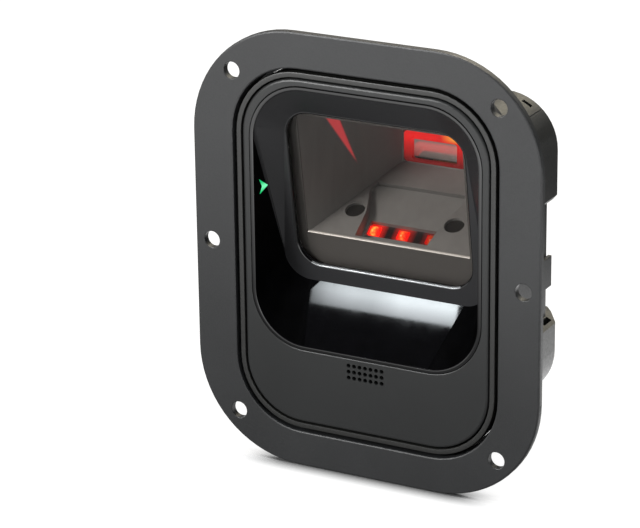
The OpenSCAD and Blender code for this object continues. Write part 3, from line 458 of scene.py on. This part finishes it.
recess = carve(as_mesh("recess_plan", cuts), as_mesh("recess_ends", ends), "INTERSECT")
stiffened = carve(as_mesh("whole_shell", shell), as_mesh("screw_posts", posts), "UNION")
slimmed = carve(stiffened, recess, "DIFFERENCE")
housing = bmesh.new()
housing.from_mesh(carve(slimmed, as_mesh("slots_and_bores", slots), "DIFFERENCE"))
piece("rear_shell", housing, moulded, "housing_plastic", "rear_housing", flat=300)

# The front bezel: a flat moulded frame dropped into the rim, with a soft edge and the speaker's small holes.
# Two long bosses behind it take the housing's lower screws.

# Moulded ABS with a fine matt grain: an even charcoal, a shade paler and smoother than the flange round it.
# The real grain is about 0.2 mm; it is drawn at 0.5 mm so that it shows in the picture.
satin = blank(bpy.data.materials, "charcoal_abs_bezel")
where = add(satin, "TexCoord").outputs["Object"]
grain = add(satin, "TexNoise", {"Scale": 1 / 0.0005, "Detail": 3, "Roughness": 0.6}, {"Vector": where})
cloud = add(satin, "TexNoise", {"Scale": 1 / 0.025, "Detail": 2}, {"Vector": where})
tint = add(satin, "Mix", {6: linear("#1a1b1b"), 7: linear("#222323")}, {0: cloud}, data_type="RGBA")
gloss = add(satin, "MapRange", {"From Min": 0.3, "From Max": 0.7, "To Min": 0.34, "To Max": 0.44},
            {"Value": grain})
pits = add(satin, "Bump", {"Strength": 0.1, "Distance": 0.0002}, {"Height": grain})
skin = add(satin, "BsdfPrincipled", {"IOR": 1.45},
           {"Base Color": tint.outputs[2], "Roughness": gloss, "Normal": pits})
add(satin, "OutputMaterial", {}, {"Surface": skin})

pocket_w, pocket_h, pocket_r, pocket_low_r, pocket_z = 70.6, 76.8, 16, 15.5, 10.2
grille_z, column_step, row_step = -33.5, 1.77, 1.85


def pocket_loop(shape, grow, depth):
    return rounded_loop(shape, pocket_w + 2 * grow, pocket_h + 2 * grow, pocket_r + grow, depth, pocket_z,
                        pocket_low_r + grow, 14)


bezel = bmesh.new()
skirt = [rim_loop(bezel, i, t) for i, t in (
    (2.8, 0.3), (2.45, 0.38), (2.15, 0.62), (2.02, 0.9), (2, 1.15), (2, 6.1), (2.1, 6.2), (3.2, 6.17),
    (3.2, 2.3))]
face_edge, skirt_foot = sweep_round(bezel, skirt)
cut_out = [pocket_loop(bezel, g, t) for g, t in ((1.55, 0.3), (1.38, 0.37), (1.3, 0.55), (1.3, 2.3))]
cut_front, cut_back = sweep_round(bezel, cut_out)
fronts, backs = [], []
for column in range(7):
    for row in range(3):
        x, z = (column - 3) * column_step, grille_z + (row - 1) * row_step
        hole = [round_loop(bezel, x, t, z, r, 16) for r, t in ((0.66, 0.3), (0.6, 0.38), (0.6, 2.3))]
        near, far = sweep_round(bezel, hole)
        fronts += near
        backs += far
fill_flat(bezel, face_edge + cut_front + fronts, (0, -1, 0))
fill_flat(bezel, skirt_foot + cut_back + backs, (0, 1, 0))
for s in (-1, 1):
    boss = [round_loop(bezel, s * screw_x, t, low_screw_z, r, 28) for r, t in (
        (3, 2.25), (3, 31.8), (2.8, 32), (1.3, 31.97), (1.3, 23))]
    pilot = sweep_round(bezel, boss)[1]
    bmesh.ops.holes_fill(bezel, edges=pilot, sides=0)
    # A short rib on each side of the speaker holds it in place.
    prism(bezel, [(s * x, t, -39) for x, t in oblong(10.15, 2.25, 11.65, 6.75)], (0, 0, 11))
piece("front_frame", bezel, satin, "bezel_plastic", "front_bezel")

# The window surround: a glossy black funnel, moulded in polycarbonate, that leads in to the window.
# Its narrow lip stands in the bezel's cut-out, and its walls run straight from there to the window's plane.

# Polished polycarbonate: a deep black that mirrors the room, under a faint haze of dust in patches of 4 mm.
piano = blank(bpy.data.materials, "polished_black_polycarbonate")
where = add(piano, "TexCoord").outputs["Object"]
dust = add(piano, "TexNoise", {"Scale": 1 / 0.004, "Detail": 4, "Roughness": 0.7}, {"Vector": where})
gloss = add(piano, "MapRange", {"From Min": 0.35, "From Max": 0.7, "To Min": 0.02, "To Max": 0.035},
            {"Value": dust})
tint = add(piano, "Mix", {6: linear("#040404"), 7: linear("#09090b")}, {0: dust}, data_type="RGBA")
skin = add(piano, "BsdfPrincipled", {"IOR": 1.5}, {"Base Color": tint.outputs[2], "Roughness": gloss})
add(piano, "OutputMaterial", {}, {"Surface": skin})

# The plate round the window is left satin by the mould: the same black, with a soft grey in the light.
# Its grain is about 0.2 mm; it is drawn at 0.5 mm so that it shows in the picture.
frosted = blank(bpy.data.materials, "satin_black_polycarbonate")
where = add(frosted, "TexCoord").outputs["Object"]
grain = add(frosted, "TexNoise", {"Scale": 1 / 0.0005, "Detail": 3}, {"Vector": where})
tint = add(frosted, "Mix", {6: linear("#161618"), 7: linear("#1e1e20")}, {0: grain}, data_type="RGBA")
gloss = add(frosted, "MapRange", {"To Min": 0.28, "To Max": 0.42}, {"Value": grain})
skin = add(frosted, "BsdfPrincipled", {"IOR": 1.5}, {"Base Color": tint.outputs[2], "Roughness": gloss})
add(frosted, "OutputMaterial", {}, {"Surface": skin})

# The window's lower lip carries a painted highlight: a pale, half-metallic grey that turns the strip's light
# into one bright line.
lip_highlight_paint = blank(bpy.data.materials, "painted_highlight_lip")
where = add(lip_highlight_paint, "TexCoord").outputs["Object"]
wave = add(lip_highlight_paint, "TexNoise", {"Scale": 1 / 0.008, "Detail": 2}, {"Vector": where})
gloss = add(lip_highlight_paint, "MapRange", {"From Min": 0.3, "From Max": 0.7, "To Min": 0.16, "To Max": 0.28},
            {"Value": wave})
skin = add(lip_highlight_paint, "BsdfPrincipled", {"Base Color": linear("#9a9c9e"), "Metallic": 0.7},
           {"Roughness": gloss})
add(lip_highlight_paint, "OutputMaterial", {}, {"Surface": skin})

# The lower side walls and corners take painted shade: a darker copy of the black gloss, which barely mirrors
# the room.
shaded = blank(bpy.data.materials, "shade_painted_black_polycarbonate")
where = add(shaded, "TexCoord").outputs["Object"]
cloud = add(shaded, "TexNoise", {"Scale": 1 / 0.006, "Detail": 3}, {"Vector": where})
tint = add(shaded, "Mix", {6: linear("#010101"), 7: linear("#050506")}, {0: cloud}, data_type="RGBA")
skin = add(shaded, "BsdfPrincipled", {"Roughness": 0.35, "IOR": 1.09}, {"Base Color": tint.outputs[2]})
add(shaded, "OutputMaterial", {}, {"Surface": skin})

window_w, window_h, window_r = 56, 48.48, 7.5
window_depth, window_z, window_lean = 9.6, 16.25, math.radians(8.9)
corner_disc_x, corner_disc_z, corner_disc_r = 24.6, -21.61, 8
funnel_front = 0.65
window_place = Matrix.Translation((0, window_depth, window_z)) @ Matrix.Rotation(window_lean, 4, "X")
leaning = window_place.to_3x3() @ Vector((0, -1, 0))


def window_loop(shape, grow, depth):
    edges = rounded_loop(shape, window_w + 2 * grow, window_h + 2 * grow, window_r + grow, depth, steps=14)
    bmesh.ops.transform(shape, matrix=window_place, verts=touching(edges, "verts"))
    return edges


funnel = bmesh.new()
pocket_loop(funnel, 0, funnel_front)
window_loop(funnel, 0.7, 0)
for s in (-1, 1):
    disc = window_place @ Matrix.Translation((s * corner_disc_x, 0, corner_disc_z))
    bmesh.ops.create_circle(funnel, cap_ends=False, segments=56, radius=corner_disc_r,
                            matrix=disc @ Matrix.Rotation(math.pi / 2, 4, "X"))
bmesh.ops.convex_hull(funnel, input=funnel.verts, use_existing_faces=False)
to_window = window_place.inverted()
lids = [f for f in funnel.faces if all(abs(v.co.y - funnel_front) < 0.01 for v in f.verts)
        or all(abs((to_window @ v.co).y) < 0.01 for v in f.verts)]
bmesh.ops.delete(funnel, geom=lids, context="FACES")
bmesh.ops.delete(funnel, geom=[e for e in funnel.edges if not e.link_faces], context="EDGES")
bmesh.ops.delete(funnel, geom=[v for v in funnel.verts if not v.link_faces], context="VERTS")
seat = [e for e in funnel.edges if e.is_boundary and all(abs((to_window @ v.co).y) < 0.01 for v in e.verts)]
sill = [window_loop(funnel, g, d) for g, d in (
    (0.5, 0), (0.31, 0.04), (0.15, 0.15), (0.04, 0.31), (0, 0.5), (0, 1.18), (2.5, 1.22))]
sill_front = sweep_round(funnel, sill)[0]
rounded = set(funnel.faces)
fill_flat(funnel, seat + sill_front, (0, -1, 0))
# The finishes, in the window's own place: satin on the plate and the upper walls, a painted highlight on the
# straight part of the window's lower lip, and painted shade on the lower side walls. The rest is gloss.
satin_finish, lip_highlight_finish, painted_shade_finish = 1, 2, 3
lip_z, lip_x, satin_z = -23.5, 24, 4
for face in funnel.faces:
    middle = to_window @ face.calc_center_median()
    if face not in rounded:
        face.material_index = satin_finish
    elif middle.z < lip_z and 0.01 < middle.y < 0.6 and abs(middle.x) < lip_x:
        face.material_index = lip_highlight_finish
    elif middle.z > satin_z and middle.y < 0:
        face.material_index = satin_finish
    elif middle.z < 0 and middle.y < 0 and abs(face.normal.x) > 0.02:
        face.material_index = painted_shade_finish
lip = [pocket_loop(funnel, g, t) for g, t in (
    (2.1, 3.5), (2.1, 2.38), (1.2, 2.35), (1.2, 0.5), (1.14, 0.36), (1, 0.32), (0.4, 0.3), (0.12, 0.4),
    (0, funnel_front))]
sweep_round(funnel, lip)
made = piece("window_funnel", funnel, piano, "surround_plastic", "window_surround", sharp=24, plane=leaning)
for finish in (frosted, lip_highlight_paint, shaded):
    made.data.materials.append(finish)

# The window pane: a flat plate of clear acrylic, bedded on a black seal behind the funnel.
# It is polished and lightly coated, so that it only shows by a faint reflection.
acrylic = blank(bpy.data.materials, "clear_coated_acrylic")
where = add(acrylic, "TexCoord").outputs["Object"]
smear = add(acrylic, "TexNoise", {"Scale": 1 / 0.01, "Detail": 3}, {"Vector": where})
clear = add(acrylic, "BsdfTransparent", {"Color": linear("#f6f4f2")})
gloss = add(acrylic, "MapRange", {"From Min": 0.3, "From Max": 0.8, "To Min": 0.02, "To Max": 0.09},
            {"Value": smear})
shine = add(acrylic, "BsdfGlossy", {}, {"Roughness": gloss})
angle = add(acrylic, "LayerWeight", {"Blend": 0.5})
steep = add(acrylic, "Math", {1: 5}, {0: angle.outputs["Facing"]}, operation="POWER")
mirrored = add(acrylic, "MapRange", {"To Min": 0.016, "To Max": 1}, {"Value": steep})
pane_skin = add(acrylic, "MixShader", {}, {0: mirrored, 1: clear, 2: shine})
add(acrylic, "OutputMaterial", {}, {"Surface": pane_skin})
pane = bmesh.new()
edge = [window_loop(pane, g, d) for g, d in ((0.8, 1.6), (1, 1.8), (1, 2.85), (0.8, 3.05))]
near, far = sweep_round(pane, edge)
fill_flat(pane, near, (0, -1, 0))
fill_flat(pane, far, (0, 1, 0))
piece("clear_pane", pane, acrylic, "window_acrylic", "window_pane", plane=leaning)

# Soft black rubber: the bezel's seal, the window's seal and the speaker's foam gasket.
# Cut from sheet, dull, with a fine closed-cell pattern of about 0.5 mm.
rubber = blank(bpy.data.materials, "black_closed_cell_rubber")
where = add(rubber, "TexCoord").outputs["Object"]
cells = add(rubber, "TexVoronoi", {"Scale": 1 / 0.0005}, {"Vector": where})
tint = add(rubber, "Mix", {6: linear("#0b0b0b"), 7: linear("#191918")},
           {0: cells.outputs["Distance"]}, data_type="RGBA")
pits = add(rubber, "Bump", {"Strength": 0.3, "Distance": 0.0002}, {"Height": cells.outputs["Distance"]})
skin = add(rubber, "BsdfPrincipled", {"Roughness": 0.85, "IOR": 1.5},
           {"Base Color": tint.outputs[2], "Normal": pits})
add(rubber, "OutputMaterial", {}, {"Surface": skin})


def coat(material, *names):
    for name in names:
        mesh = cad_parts[name].data
        mesh.materials.clear()
        mesh.materials.append(material)


coat(rubber, "bezel_seal", "window_seal", "speaker_gasket")

# The optical chamber: a grey moulded box behind the pane, open to the window, narrowing to the camera's port.
# Its sloping deck has a sunk trough for the lamps, and a slim bead stiffens the front edge of the deck.

# Moulded ABS with a matt grain and faint drag marks along the pull of the mould: an even, slightly warm grey.
# The real grain is about 0.25 mm; it is drawn at 0.6 mm so that it shows in the picture.
grey = blank(bpy.data.materials, "warm_grey_moulded_abs")
where = add(grey, "TexCoord").outputs["Object"]
grain = add(grey, "TexNoise", {"Scale": 1 / 0.0006, "Detail": 3, "Roughness": 0.6}, {"Vector": where})
streak = add(grey, "Mapping", {"Scale": (1, 1, 0.12)}, {"Vector": where})
drag = add(grey, "TexNoise", {"Scale": 1 / 0.003, "Detail": 3}, {"Vector": streak})
tint = add(grey, "Mix", {6: linear("#6e6e6d"), 7: linear("#7e7e7d")}, {0: drag}, data_type="RGBA")
pits = add(grey, "Bump", {"Strength": 0.12, "Distance": 0.0002}, {"Height": grain})
# Painted shade: the front face is coloured darker than the rest, up to the bead.
inward = add(grey, "VectorMath", {1: (0, 0.988, 0.1547)}, {0: where}, operation="DOT_PRODUCT")
clear_of_front_shade = add(grey, "MapRange", {"From Min": 0.01305, "From Max": 0.01325}, {"Value": inward.outputs["Value"]})
painted_front_shade = add(grey, "Mix", {6: linear("#454443")}, {0: clear_of_front_shade, 7: tint.outputs[2]}, data_type="RGBA")
# A wedge of red light from the lamps lies on the left wall, between two straight shadow edges.
first = add(grey, "VectorMath", {1: (0, 0.8177, 0.5764)}, {0: where}, operation="DOT_PRODUCT")
second = add(grey, "VectorMath", {1: (0, 0.9102, 0.4149)}, {0: where}, operation="DOT_PRODUCT")
inside = add(grey, "MapRange", {"From Min": 0.03397, "From Max": 0.03447}, {"Value": first.outputs["Value"]})
outside = add(grey, "MapRange", {"From Min": 0.03386, "From Max": 0.03336},
              {"Value": second.outputs["Value"]})
sides = add(grey, "SeparateXYZ", {}, {0: where})
left = add(grey, "MapRange", {"From Min": -0.011, "From Max": -0.012}, {"Value": sides.outputs["X"]})
wedge = add(grey, "Math", {}, {0: inside, 1: outside}, operation="MULTIPLY")
spill = add(grey, "Math", {}, {0: wedge, 1: left}, operation="MULTIPLY")
turned = add(grey, "NewGeometry")
facing = add(grey, "SeparateXYZ", {}, {0: turned.outputs["True Normal"]})
wall = add(grey, "MapRange", {"From Min": 0.5, "From Max": 0.7, "To Max": 0.5},
           {"Value": facing.outputs["X"]})
power = add(grey, "Math", {}, {0: spill, 1: wall}, operation="MULTIPLY")
skin = add(grey, "BsdfPrincipled", {"Roughness": 0.5, "IOR": 1.5, "Emission Color": linear("#f42a38")},
           {"Base Color": painted_front_shade.outputs[2], "Normal": pits, "Emission Strength": power})
add(grey, "OutputMaterial", {}, {"Surface": skin})

# The bead is coloured pale and smooth: a painted highlight that draws a bright line along the deck's front.
bead_highlight_paint = blank(bpy.data.materials, "grey_abs_bead_painted_highlight")
where = add(bead_highlight_paint, "TexCoord").outputs["Object"]
cloud = add(bead_highlight_paint, "TexNoise", {"Scale": 1 / 0.006, "Detail": 3}, {"Vector": where})
gloss = add(bead_highlight_paint, "MapRange", {"From Min": 0.3, "From Max": 0.7, "To Min": 0.14, "To Max": 0.26},
            {"Value": cloud})
skin = add(bead_highlight_paint, "BsdfPrincipled", {"Base Color": linear("#c4c2be"), "IOR": 1.7}, {"Roughness": gloss})
add(bead_highlight_paint, "OutputMaterial", {}, {"Surface": skin})

box = bmesh.new()
box.from_mesh(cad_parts["optical_chamber"].data)
bmesh.ops.scale(box, vec=(1000, 1000, 1000), verts=box.verts)
bmesh.ops.translate(box, vec=(0, -FRONT, 0), verts=box.verts)
bmesh.ops.remove_doubles(box, verts=box.verts, dist=0.002)
bmesh.ops.dissolve_limit(box, angle_limit=math.radians(0.6), verts=box.verts, edges=box.edges)
bead_r, bead_l, bead_depth, bead_z = 0.5, 52, 3.61, -15.82
bead_place = window_place @ Matrix.Translation((0, bead_depth, bead_z)) @ Matrix.Rotation(math.pi / 2, 4, "Y")
bead = bmesh.ops.create_cone(box, cap_ends=True, segments=40, radius1=bead_r, radius2=bead_r, depth=bead_l,
                             matrix=bead_place)
for face in touching(bead["verts"], "link_faces"):
    face.material_index = 1
made = piece("grey_chamber", box, grey, "chamber_plastic", "optical_chamber", sharp=30, flat=40,
             plane=leaning)
made.data.materials.append(bead_highlight_paint)

# The three lamps in the trough: LEDs cast in clear red resin, soldered to their board.
# Each glows orange in the middle, where the chip is, and red round it, and the left one is the brightest.
lamp_step = 0.0092
red_lamp = blank(bpy.data.materials, "lit_red_led_resin")
where = add(red_lamp, "TexCoord").outputs["Object"]
across = add(red_lamp, "SeparateXYZ", {}, {0: where})
power = add(red_lamp, "MapRange",
            {"From Min": -lamp_step, "From Max": lamp_step, "To Min": 2.4, "To Max": 0.35},
            {"Value": across.outputs["X"]})
shifted = add(red_lamp, "Math", {1: lamp_step * 1.5}, {0: across.outputs["X"]}, operation="ADD")
pitch = add(red_lamp, "Math", {1: lamp_step / 2}, {0: shifted}, operation="PINGPONG")
middle = add(red_lamp, "MapRange", {"From Min": 0.0034, "From Max": 0.0044}, {"Value": pitch})
cell = add(red_lamp, "TexVoronoi", {"Scale": 1 / 0.0011}, {"Vector": where})
spark = add(red_lamp, "MapRange", {"From Min": 0.15, "From Max": 0.6, "To Min": 1, "To Max": 0.25},
            {"Value": cell.outputs["Distance"]})
core = add(red_lamp, "Math", {}, {0: middle, 1: spark}, operation="MULTIPLY")
fire = add(red_lamp, "Mix", {6: linear("#e8140a"), 7: linear("#ff9a40")}, {0: core}, data_type="RGBA")
skin = add(red_lamp, "BsdfPrincipled", {"Base Color": linear("#8c0c06"), "Roughness": 0.15, "IOR": 1.5},
           {"Emission Color": fire.outputs[2], "Emission Strength": power})
add(red_lamp, "OutputMaterial", {}, {"Surface": skin})
coat(red_lamp, "red_leds")

# The light frame round the camera's port: a guide moulded in red acrylic, lit from its upper right corner.
# Its top bar is the brightest, and its lower bar is only a thin red line.
guide = blank(bpy.data.materials, "lit_red_light_guide")
where = add(guide, "TexCoord").outputs["Object"]
across = add(guide, "SeparateXYZ", {}, {0: where})
height = add(guide, "MapRange", {"From Min": 0.0172, "From Max": 0.0245, "To Min": 0.16, "To Max": 1.0},
             {"Value": across.outputs["Z"]})
spread = add(guide, "TexNoise", {"Scale": 1 / 0.004, "Detail": 2}, {"Vector": where})
streak = add(guide, "MapRange", {"From Min": 0.002, "From Max": 0.007, "To Min": 0, "To Max": 1},
             {"Value": across.outputs["X"]})
upper = add(guide, "MapRange", {"From Min": 0.0235, "From Max": 0.0248, "To Min": 0, "To Max": 1},
            {"Value": across.outputs["Z"]})
spot = add(guide, "Math", {}, {0: streak, 1: upper}, operation="MULTIPLY")
fire = add(guide, "Mix", {6: linear("#ee1414"), 7: linear("#ffb040")}, {0: spot}, data_type="RGBA")
even = add(guide, "MapRange", {"To Min": 0.7, "To Max": 1.3}, {"Value": spread})
power = add(guide, "Math", {}, {0: height, 1: even}, operation="MULTIPLY")
skin = add(guide, "BsdfPrincipled", {"Base Color": linear("#50080a"), "Roughness": 0.3, "IOR": 1.2},
           {"Emission Color": fire.outputs[2], "Emission Strength": power})
add(guide, "OutputMaterial", {}, {"Surface": skin})
coat(guide, "light_frame")

# The fold mirror behind the port: float glass with a silvered face, which turns the view up to the camera.
# It is slightly clouded with dust, and a faint painted glow, stronger towards its top, stands in for light
# falling on it.
silver = blank(bpy.data.materials, "front_silvered_mirror_glass")
where = add(silver, "TexCoord").outputs["Object"]
haze = add(silver, "TexNoise", {"Scale": 1 / 0.003, "Detail": 3}, {"Vector": where})
gloss = add(silver, "MapRange", {"To Min": 0.05, "To Max": 0.3}, {"Value": haze})
sides = add(silver, "SeparateXYZ", {}, {0: where})
fade = add(silver, "MapRange", {"From Min": 0.0175, "From Max": 0.0205, "To Min": 0.03, "To Max": 0.2},
           {"Value": sides.outputs["Z"]})
skin = add(silver, "BsdfPrincipled",
           {"Base Color": linear("#c9c6c2"), "Metallic": 0.9, "Emission Color": linear("#e6e0da")},
           {"Roughness": gloss, "Emission Strength": fade})
add(silver, "OutputMaterial", {}, {"Surface": skin})
coat(silver, "fold_mirror")

# The two sensor windows: plugs of dark filter resin, pressed into the deck.
# They look almost black, with a dull polish.
filter_resin = blank(bpy.data.materials, "dark_infrared_filter_resin")
where = add(filter_resin, "TexCoord").outputs["Object"]
cloud = add(filter_resin, "TexNoise", {"Scale": 1 / 0.002, "Detail": 2}, {"Vector": where})
tint = add(filter_resin, "Mix", {6: linear("#1b1a19"), 7: linear("#2a2827")}, {0: cloud}, data_type="RGBA")
skin = add(filter_resin, "BsdfPrincipled", {"Roughness": 0.3, "IOR": 1.5}, {"Base Color": tint.outputs[2]})
add(filter_resin, "OutputMaterial", {}, {"Surface": skin})
coat(filter_resin, "sensor_window_left", "sensor_window_right")

# The good-read lenses: two small chevrons moulded in green acrylic, set through the funnel's side walls.
# Each is lit from behind, so that its middle is paler than its edges.
green = blank(bpy.data.materials, "lit_green_light_guide")
where = add(green, "TexCoord").outputs["Object"]
across = add(green, "SeparateXYZ", {}, {0: where})
tall = add(green, "Math", {1: 0.0172}, {0: across.outputs["Z"]}, operation="SUBTRACT")
off = add(green, "Math", {}, {0: tall}, operation="ABSOLUTE")
heart = add(green, "MapRange", {"From Min": 0.0, "From Max": 0.0014, "To Min": 1, "To Max": 0},
            {"Value": off})
glow = add(green, "Mix", {6: linear("#12b868"), 7: linear("#7af0b4")}, {0: heart}, data_type="RGBA")
skin = add(green, "BsdfPrincipled",
           {"Base Color": linear("#0f7a48"), "Roughness": 0.2, "IOR": 1.5, "Emission Strength": 1.1},
           {"Emission Color": glow.outputs[2]})
add(green, "OutputMaterial", {}, {"Surface": skin})
chevron = ((34.76, 2.65, 19.65), (33.97, 6.25, 17.08), (34.74, 2.75, 15.2), (34.52, 3.8, 17.27))
for s, hand in ((-1, "left"), (1, "right")):
    lens = bmesh.new()
    prism(lens, [(s * x, t, z) for x, t, z in chevron], (s * 1.2, 0, 0), edge=0.06)
    piece("green_chevron_" + hand, lens, green, "green_light", "good_read_lens_" + hand)

# The lamps behind those lenses: white ceramic chip LEDs soldered to a narrow strip.
# Pale, with a slight speckle of phosphor.
phosphor = blank(bpy.data.materials, "white_led_ceramic")
where = add(phosphor, "TexCoord").outputs["Object"]
speck = add(phosphor, "TexVoronoi", {"Scale": 1 / 0.0006}, {"Vector": where})
tint = add(phosphor, "Mix", {6: linear("#e6e2d2"), 7: linear("#cfc9a8")},
           {0: speck.outputs["Distance"]}, data_type="RGBA")
skin = add(phosphor, "BsdfPrincipled", {"Roughness": 0.45}, {"Base Color": tint.outputs[2]})
add(phosphor, "OutputMaterial", {}, {"Surface": skin})
coat(phosphor, "good_read_led_left", "good_read_led_right")

# The circuit boards: glass-epoxy with green solder mask over copper tracks.
# The tracks show as a paler pattern about 0.8 mm wide, and the mask is shiny.
solder_mask = blank(bpy.data.materials, "green_solder_mask_board")
where = add(solder_mask, "TexCoord").outputs["Object"]
tracks = add(solder_mask, "TexVoronoi", {"Scale": 1 / 0.003, "Randomness": 0.35}, {"Vector": where},
             feature="DISTANCE_TO_EDGE")
line = add(solder_mask, "MapRange", {"From Min": 0.1, "From Max": 0.16},
           {"Value": tracks.outputs["Distance"]})
tint = add(solder_mask, "Mix", {6: linear("#2f7d4b"), 7: linear("#145233")}, {0: line}, data_type="RGBA")
skin = add(solder_mask, "BsdfPrincipled", {"Roughness": 0.3, "IOR": 1.5}, {"Base Color": tint.outputs[2]})
add(solder_mask, "OutputMaterial", {}, {"Surface": skin})
coat(solder_mask, "camera_board", "main_board")

# The lamps' board: the same laminate under a black mask, so that only the lamps show in their slot.
# The mask takes on a red halo round each lamp, which fades within 3 mm.
black_mask = blank(bpy.data.materials, "black_solder_mask_board")
where = add(black_mask, "TexCoord").outputs["Object"]
cloud = add(black_mask, "TexNoise", {"Scale": 1 / 0.001, "Detail": 2}, {"Vector": where})
tint = add(black_mask, "Mix", {6: linear("#120c0c"), 7: linear("#241414")}, {0: cloud}, data_type="RGBA")
across = add(black_mask, "SeparateXYZ", {}, {0: where})
shifted = add(black_mask, "Math", {1: lamp_step * 1.5}, {0: across.outputs["X"]}, operation="ADD")
pitch = add(black_mask, "Math", {1: lamp_step / 2}, {0: shifted}, operation="PINGPONG")
halo = add(black_mask, "MapRange", {"From Min": 0.0008, "From Max": 0.0032}, {"Value": pitch})
power = add(black_mask, "MapRange",
            {"From Min": -lamp_step, "From Max": lamp_step, "To Min": 1.1, "To Max": 0.12},
            {"Value": across.outputs["X"]})
spill = add(black_mask, "Math", {}, {0: halo, 1: power}, operation="MULTIPLY")
skin = add(black_mask, "BsdfPrincipled", {"Roughness": 0.35, "IOR": 1.5, "Emission Color": linear("#e0180c")},
           {"Base Color": tint.outputs[2], "Emission Strength": spill})
add(black_mask, "OutputMaterial", {}, {"Surface": skin})
coat(black_mask, "led_board")

# Black moulded parts on the boards: chips, the lens's holder and barrel, the speaker and the cable's socket.
# Epoxy and filled polyester, moulded in one shot: matt, with a fine flow pattern of about 0.5 mm.
epoxy = blank(bpy.data.materials, "black_filled_polyester")
where = add(epoxy, "TexCoord").outputs["Object"]
grain = add(epoxy, "TexNoise", {"Scale": 1 / 0.0005, "Detail": 3}, {"Vector": where})
tint = add(epoxy, "Mix", {6: linear("#151516"), 7: linear("#232324")}, {0: grain}, data_type="RGBA")
pits = add(epoxy, "Bump", {"Strength": 0.12, "Distance": 0.0002}, {"Height": grain})
skin = add(epoxy, "BsdfPrincipled", {"Roughness": 0.5, "IOR": 1.55},
           {"Base Color": tint.outputs[2], "Normal": pits})
add(epoxy, "OutputMaterial", {}, {"Surface": skin})
coat(epoxy, "lens_holder", "lens_barrel", "image_sensor", "processor", "memory_chips", "cable_socket",
     "speaker")

# The camera's front lens: ground optical glass, pressed into the front of its barrel.
# A thin coating gives it a faint violet bloom over a dark middle.
coated = blank(bpy.data.materials, "coated_optical_glass")
where = add(coated, "TexCoord").outputs["Object"]
bloom = add(coated, "TexNoise", {"Scale": 1 / 0.004}, {"Vector": where})
tint = add(coated, "Mix", {6: linear("#2a2f52"), 7: linear("#3d3560")}, {0: bloom}, data_type="RGBA")
skin = add(coated, "BsdfPrincipled", {"Roughness": 0.05, "IOR": 1.6}, {"Base Color": tint.outputs[2]})
add(coated, "OutputMaterial", {}, {"Surface": skin})
coat(coated, "front_lens")

# The small screws, and the pressed shield can that is soldered to the main board: bright zinc-plated steel.
# Rolling and drawing leave fine streaks in the shine.
zinc = blank(bpy.data.materials, "zinc_plated_steel")
where = add(zinc, "TexCoord").outputs["Object"]
drawn = add(zinc, "Mapping", {"Scale": (1, 1, 12)}, {"Vector": where})
streak = add(zinc, "TexNoise", {"Scale": 1 / 0.004, "Detail": 3}, {"Vector": drawn})
tint = add(zinc, "Mix", {6: linear("#a9abad"), 7: linear("#c9cbcc")}, {0: streak}, data_type="RGBA")
gloss = add(zinc, "MapRange", {"To Min": 0.2, "To Max": 0.42}, {"Value": streak})
skin = add(zinc, "BsdfPrincipled", {"Metallic": 1}, {"Base Color": tint.outputs[2], "Roughness": gloss})
add(zinc, "OutputMaterial", {}, {"Surface": skin})
coat(zinc, "chamber_screws", "board_screws", "shield_can")

# The housing screws: four steel screws, driven in from the back.
# They are blacked by oxide, which looks dark and slightly oily.
blacked = blank(bpy.data.materials, "black_oxide_steel")
where = add(blacked, "TexCoord").outputs["Object"]
cloud = add(blacked, "TexNoise", {"Scale": 1 / 0.0015, "Detail": 3}, {"Vector": where})
tint = add(blacked, "Mix", {6: linear("#232325"), 7: linear("#38383a")}, {0: cloud}, data_type="RGBA")
gloss = add(blacked, "MapRange", {"To Min": 0.28, "To Max": 0.5}, {"Value": cloud})
skin = add(blacked, "BsdfPrincipled", {"Metallic": 1}, {"Base Color": tint.outputs[2], "Roughness": gloss})
add(blacked, "OutputMaterial", {}, {"Surface": skin})
coat(blacked, "housing_screws")

# The socket's contacts: spring strips of phosphor bronze, set in the socket's moulding.
# A gold flash covers them, worn paler where the plug rubs.
gold = blank(bpy.data.materials, "gold_flashed_bronze")
where = add(gold, "TexCoord").outputs["Object"]
rub = add(gold, "TexNoise", {"Scale": 1 / 0.002, "Detail": 2}, {"Vector": where})
tint = add(gold, "Mix", {6: linear("#c99a3c"), 7: linear("#e0c27a")}, {0: rub}, data_type="RGBA")
skin = add(gold, "BsdfPrincipled", {"Metallic": 1, "Roughness": 0.25}, {"Base Color": tint.outputs[2]})
add(gold, "OutputMaterial", {}, {"Surface": skin})
coat(gold, "socket_contacts")

# The camera's ribbon: a flexible strip that joins the camera's board to the main board.
# Amber polyimide film lies over copper conductors 1 mm apart, which show as paler lines.
conductor_step = 0.001
film = blank(bpy.data.materials, "amber_polyimide_film")
where = add(film, "TexCoord").outputs["Object"]
# The wave texture repeats every 2 pi / 20 of its scale.
lines = add(film, "TexWave", {"Scale": math.tau / 20 / conductor_step}, {"Vector": where},
            bands_direction="X")
tint = add(film, "Mix", {6: linear("#b4641e"), 7: linear("#d08a3c")}, {0: lines.outputs[1]}, data_type="RGBA")
skin = add(film, "BsdfPrincipled", {"Roughness": 0.3, "IOR": 1.6}, {"Base Color": tint.outputs[2]})
add(film, "OutputMaterial", {}, {"Surface": skin})
coat(film, "camera_ribbon")
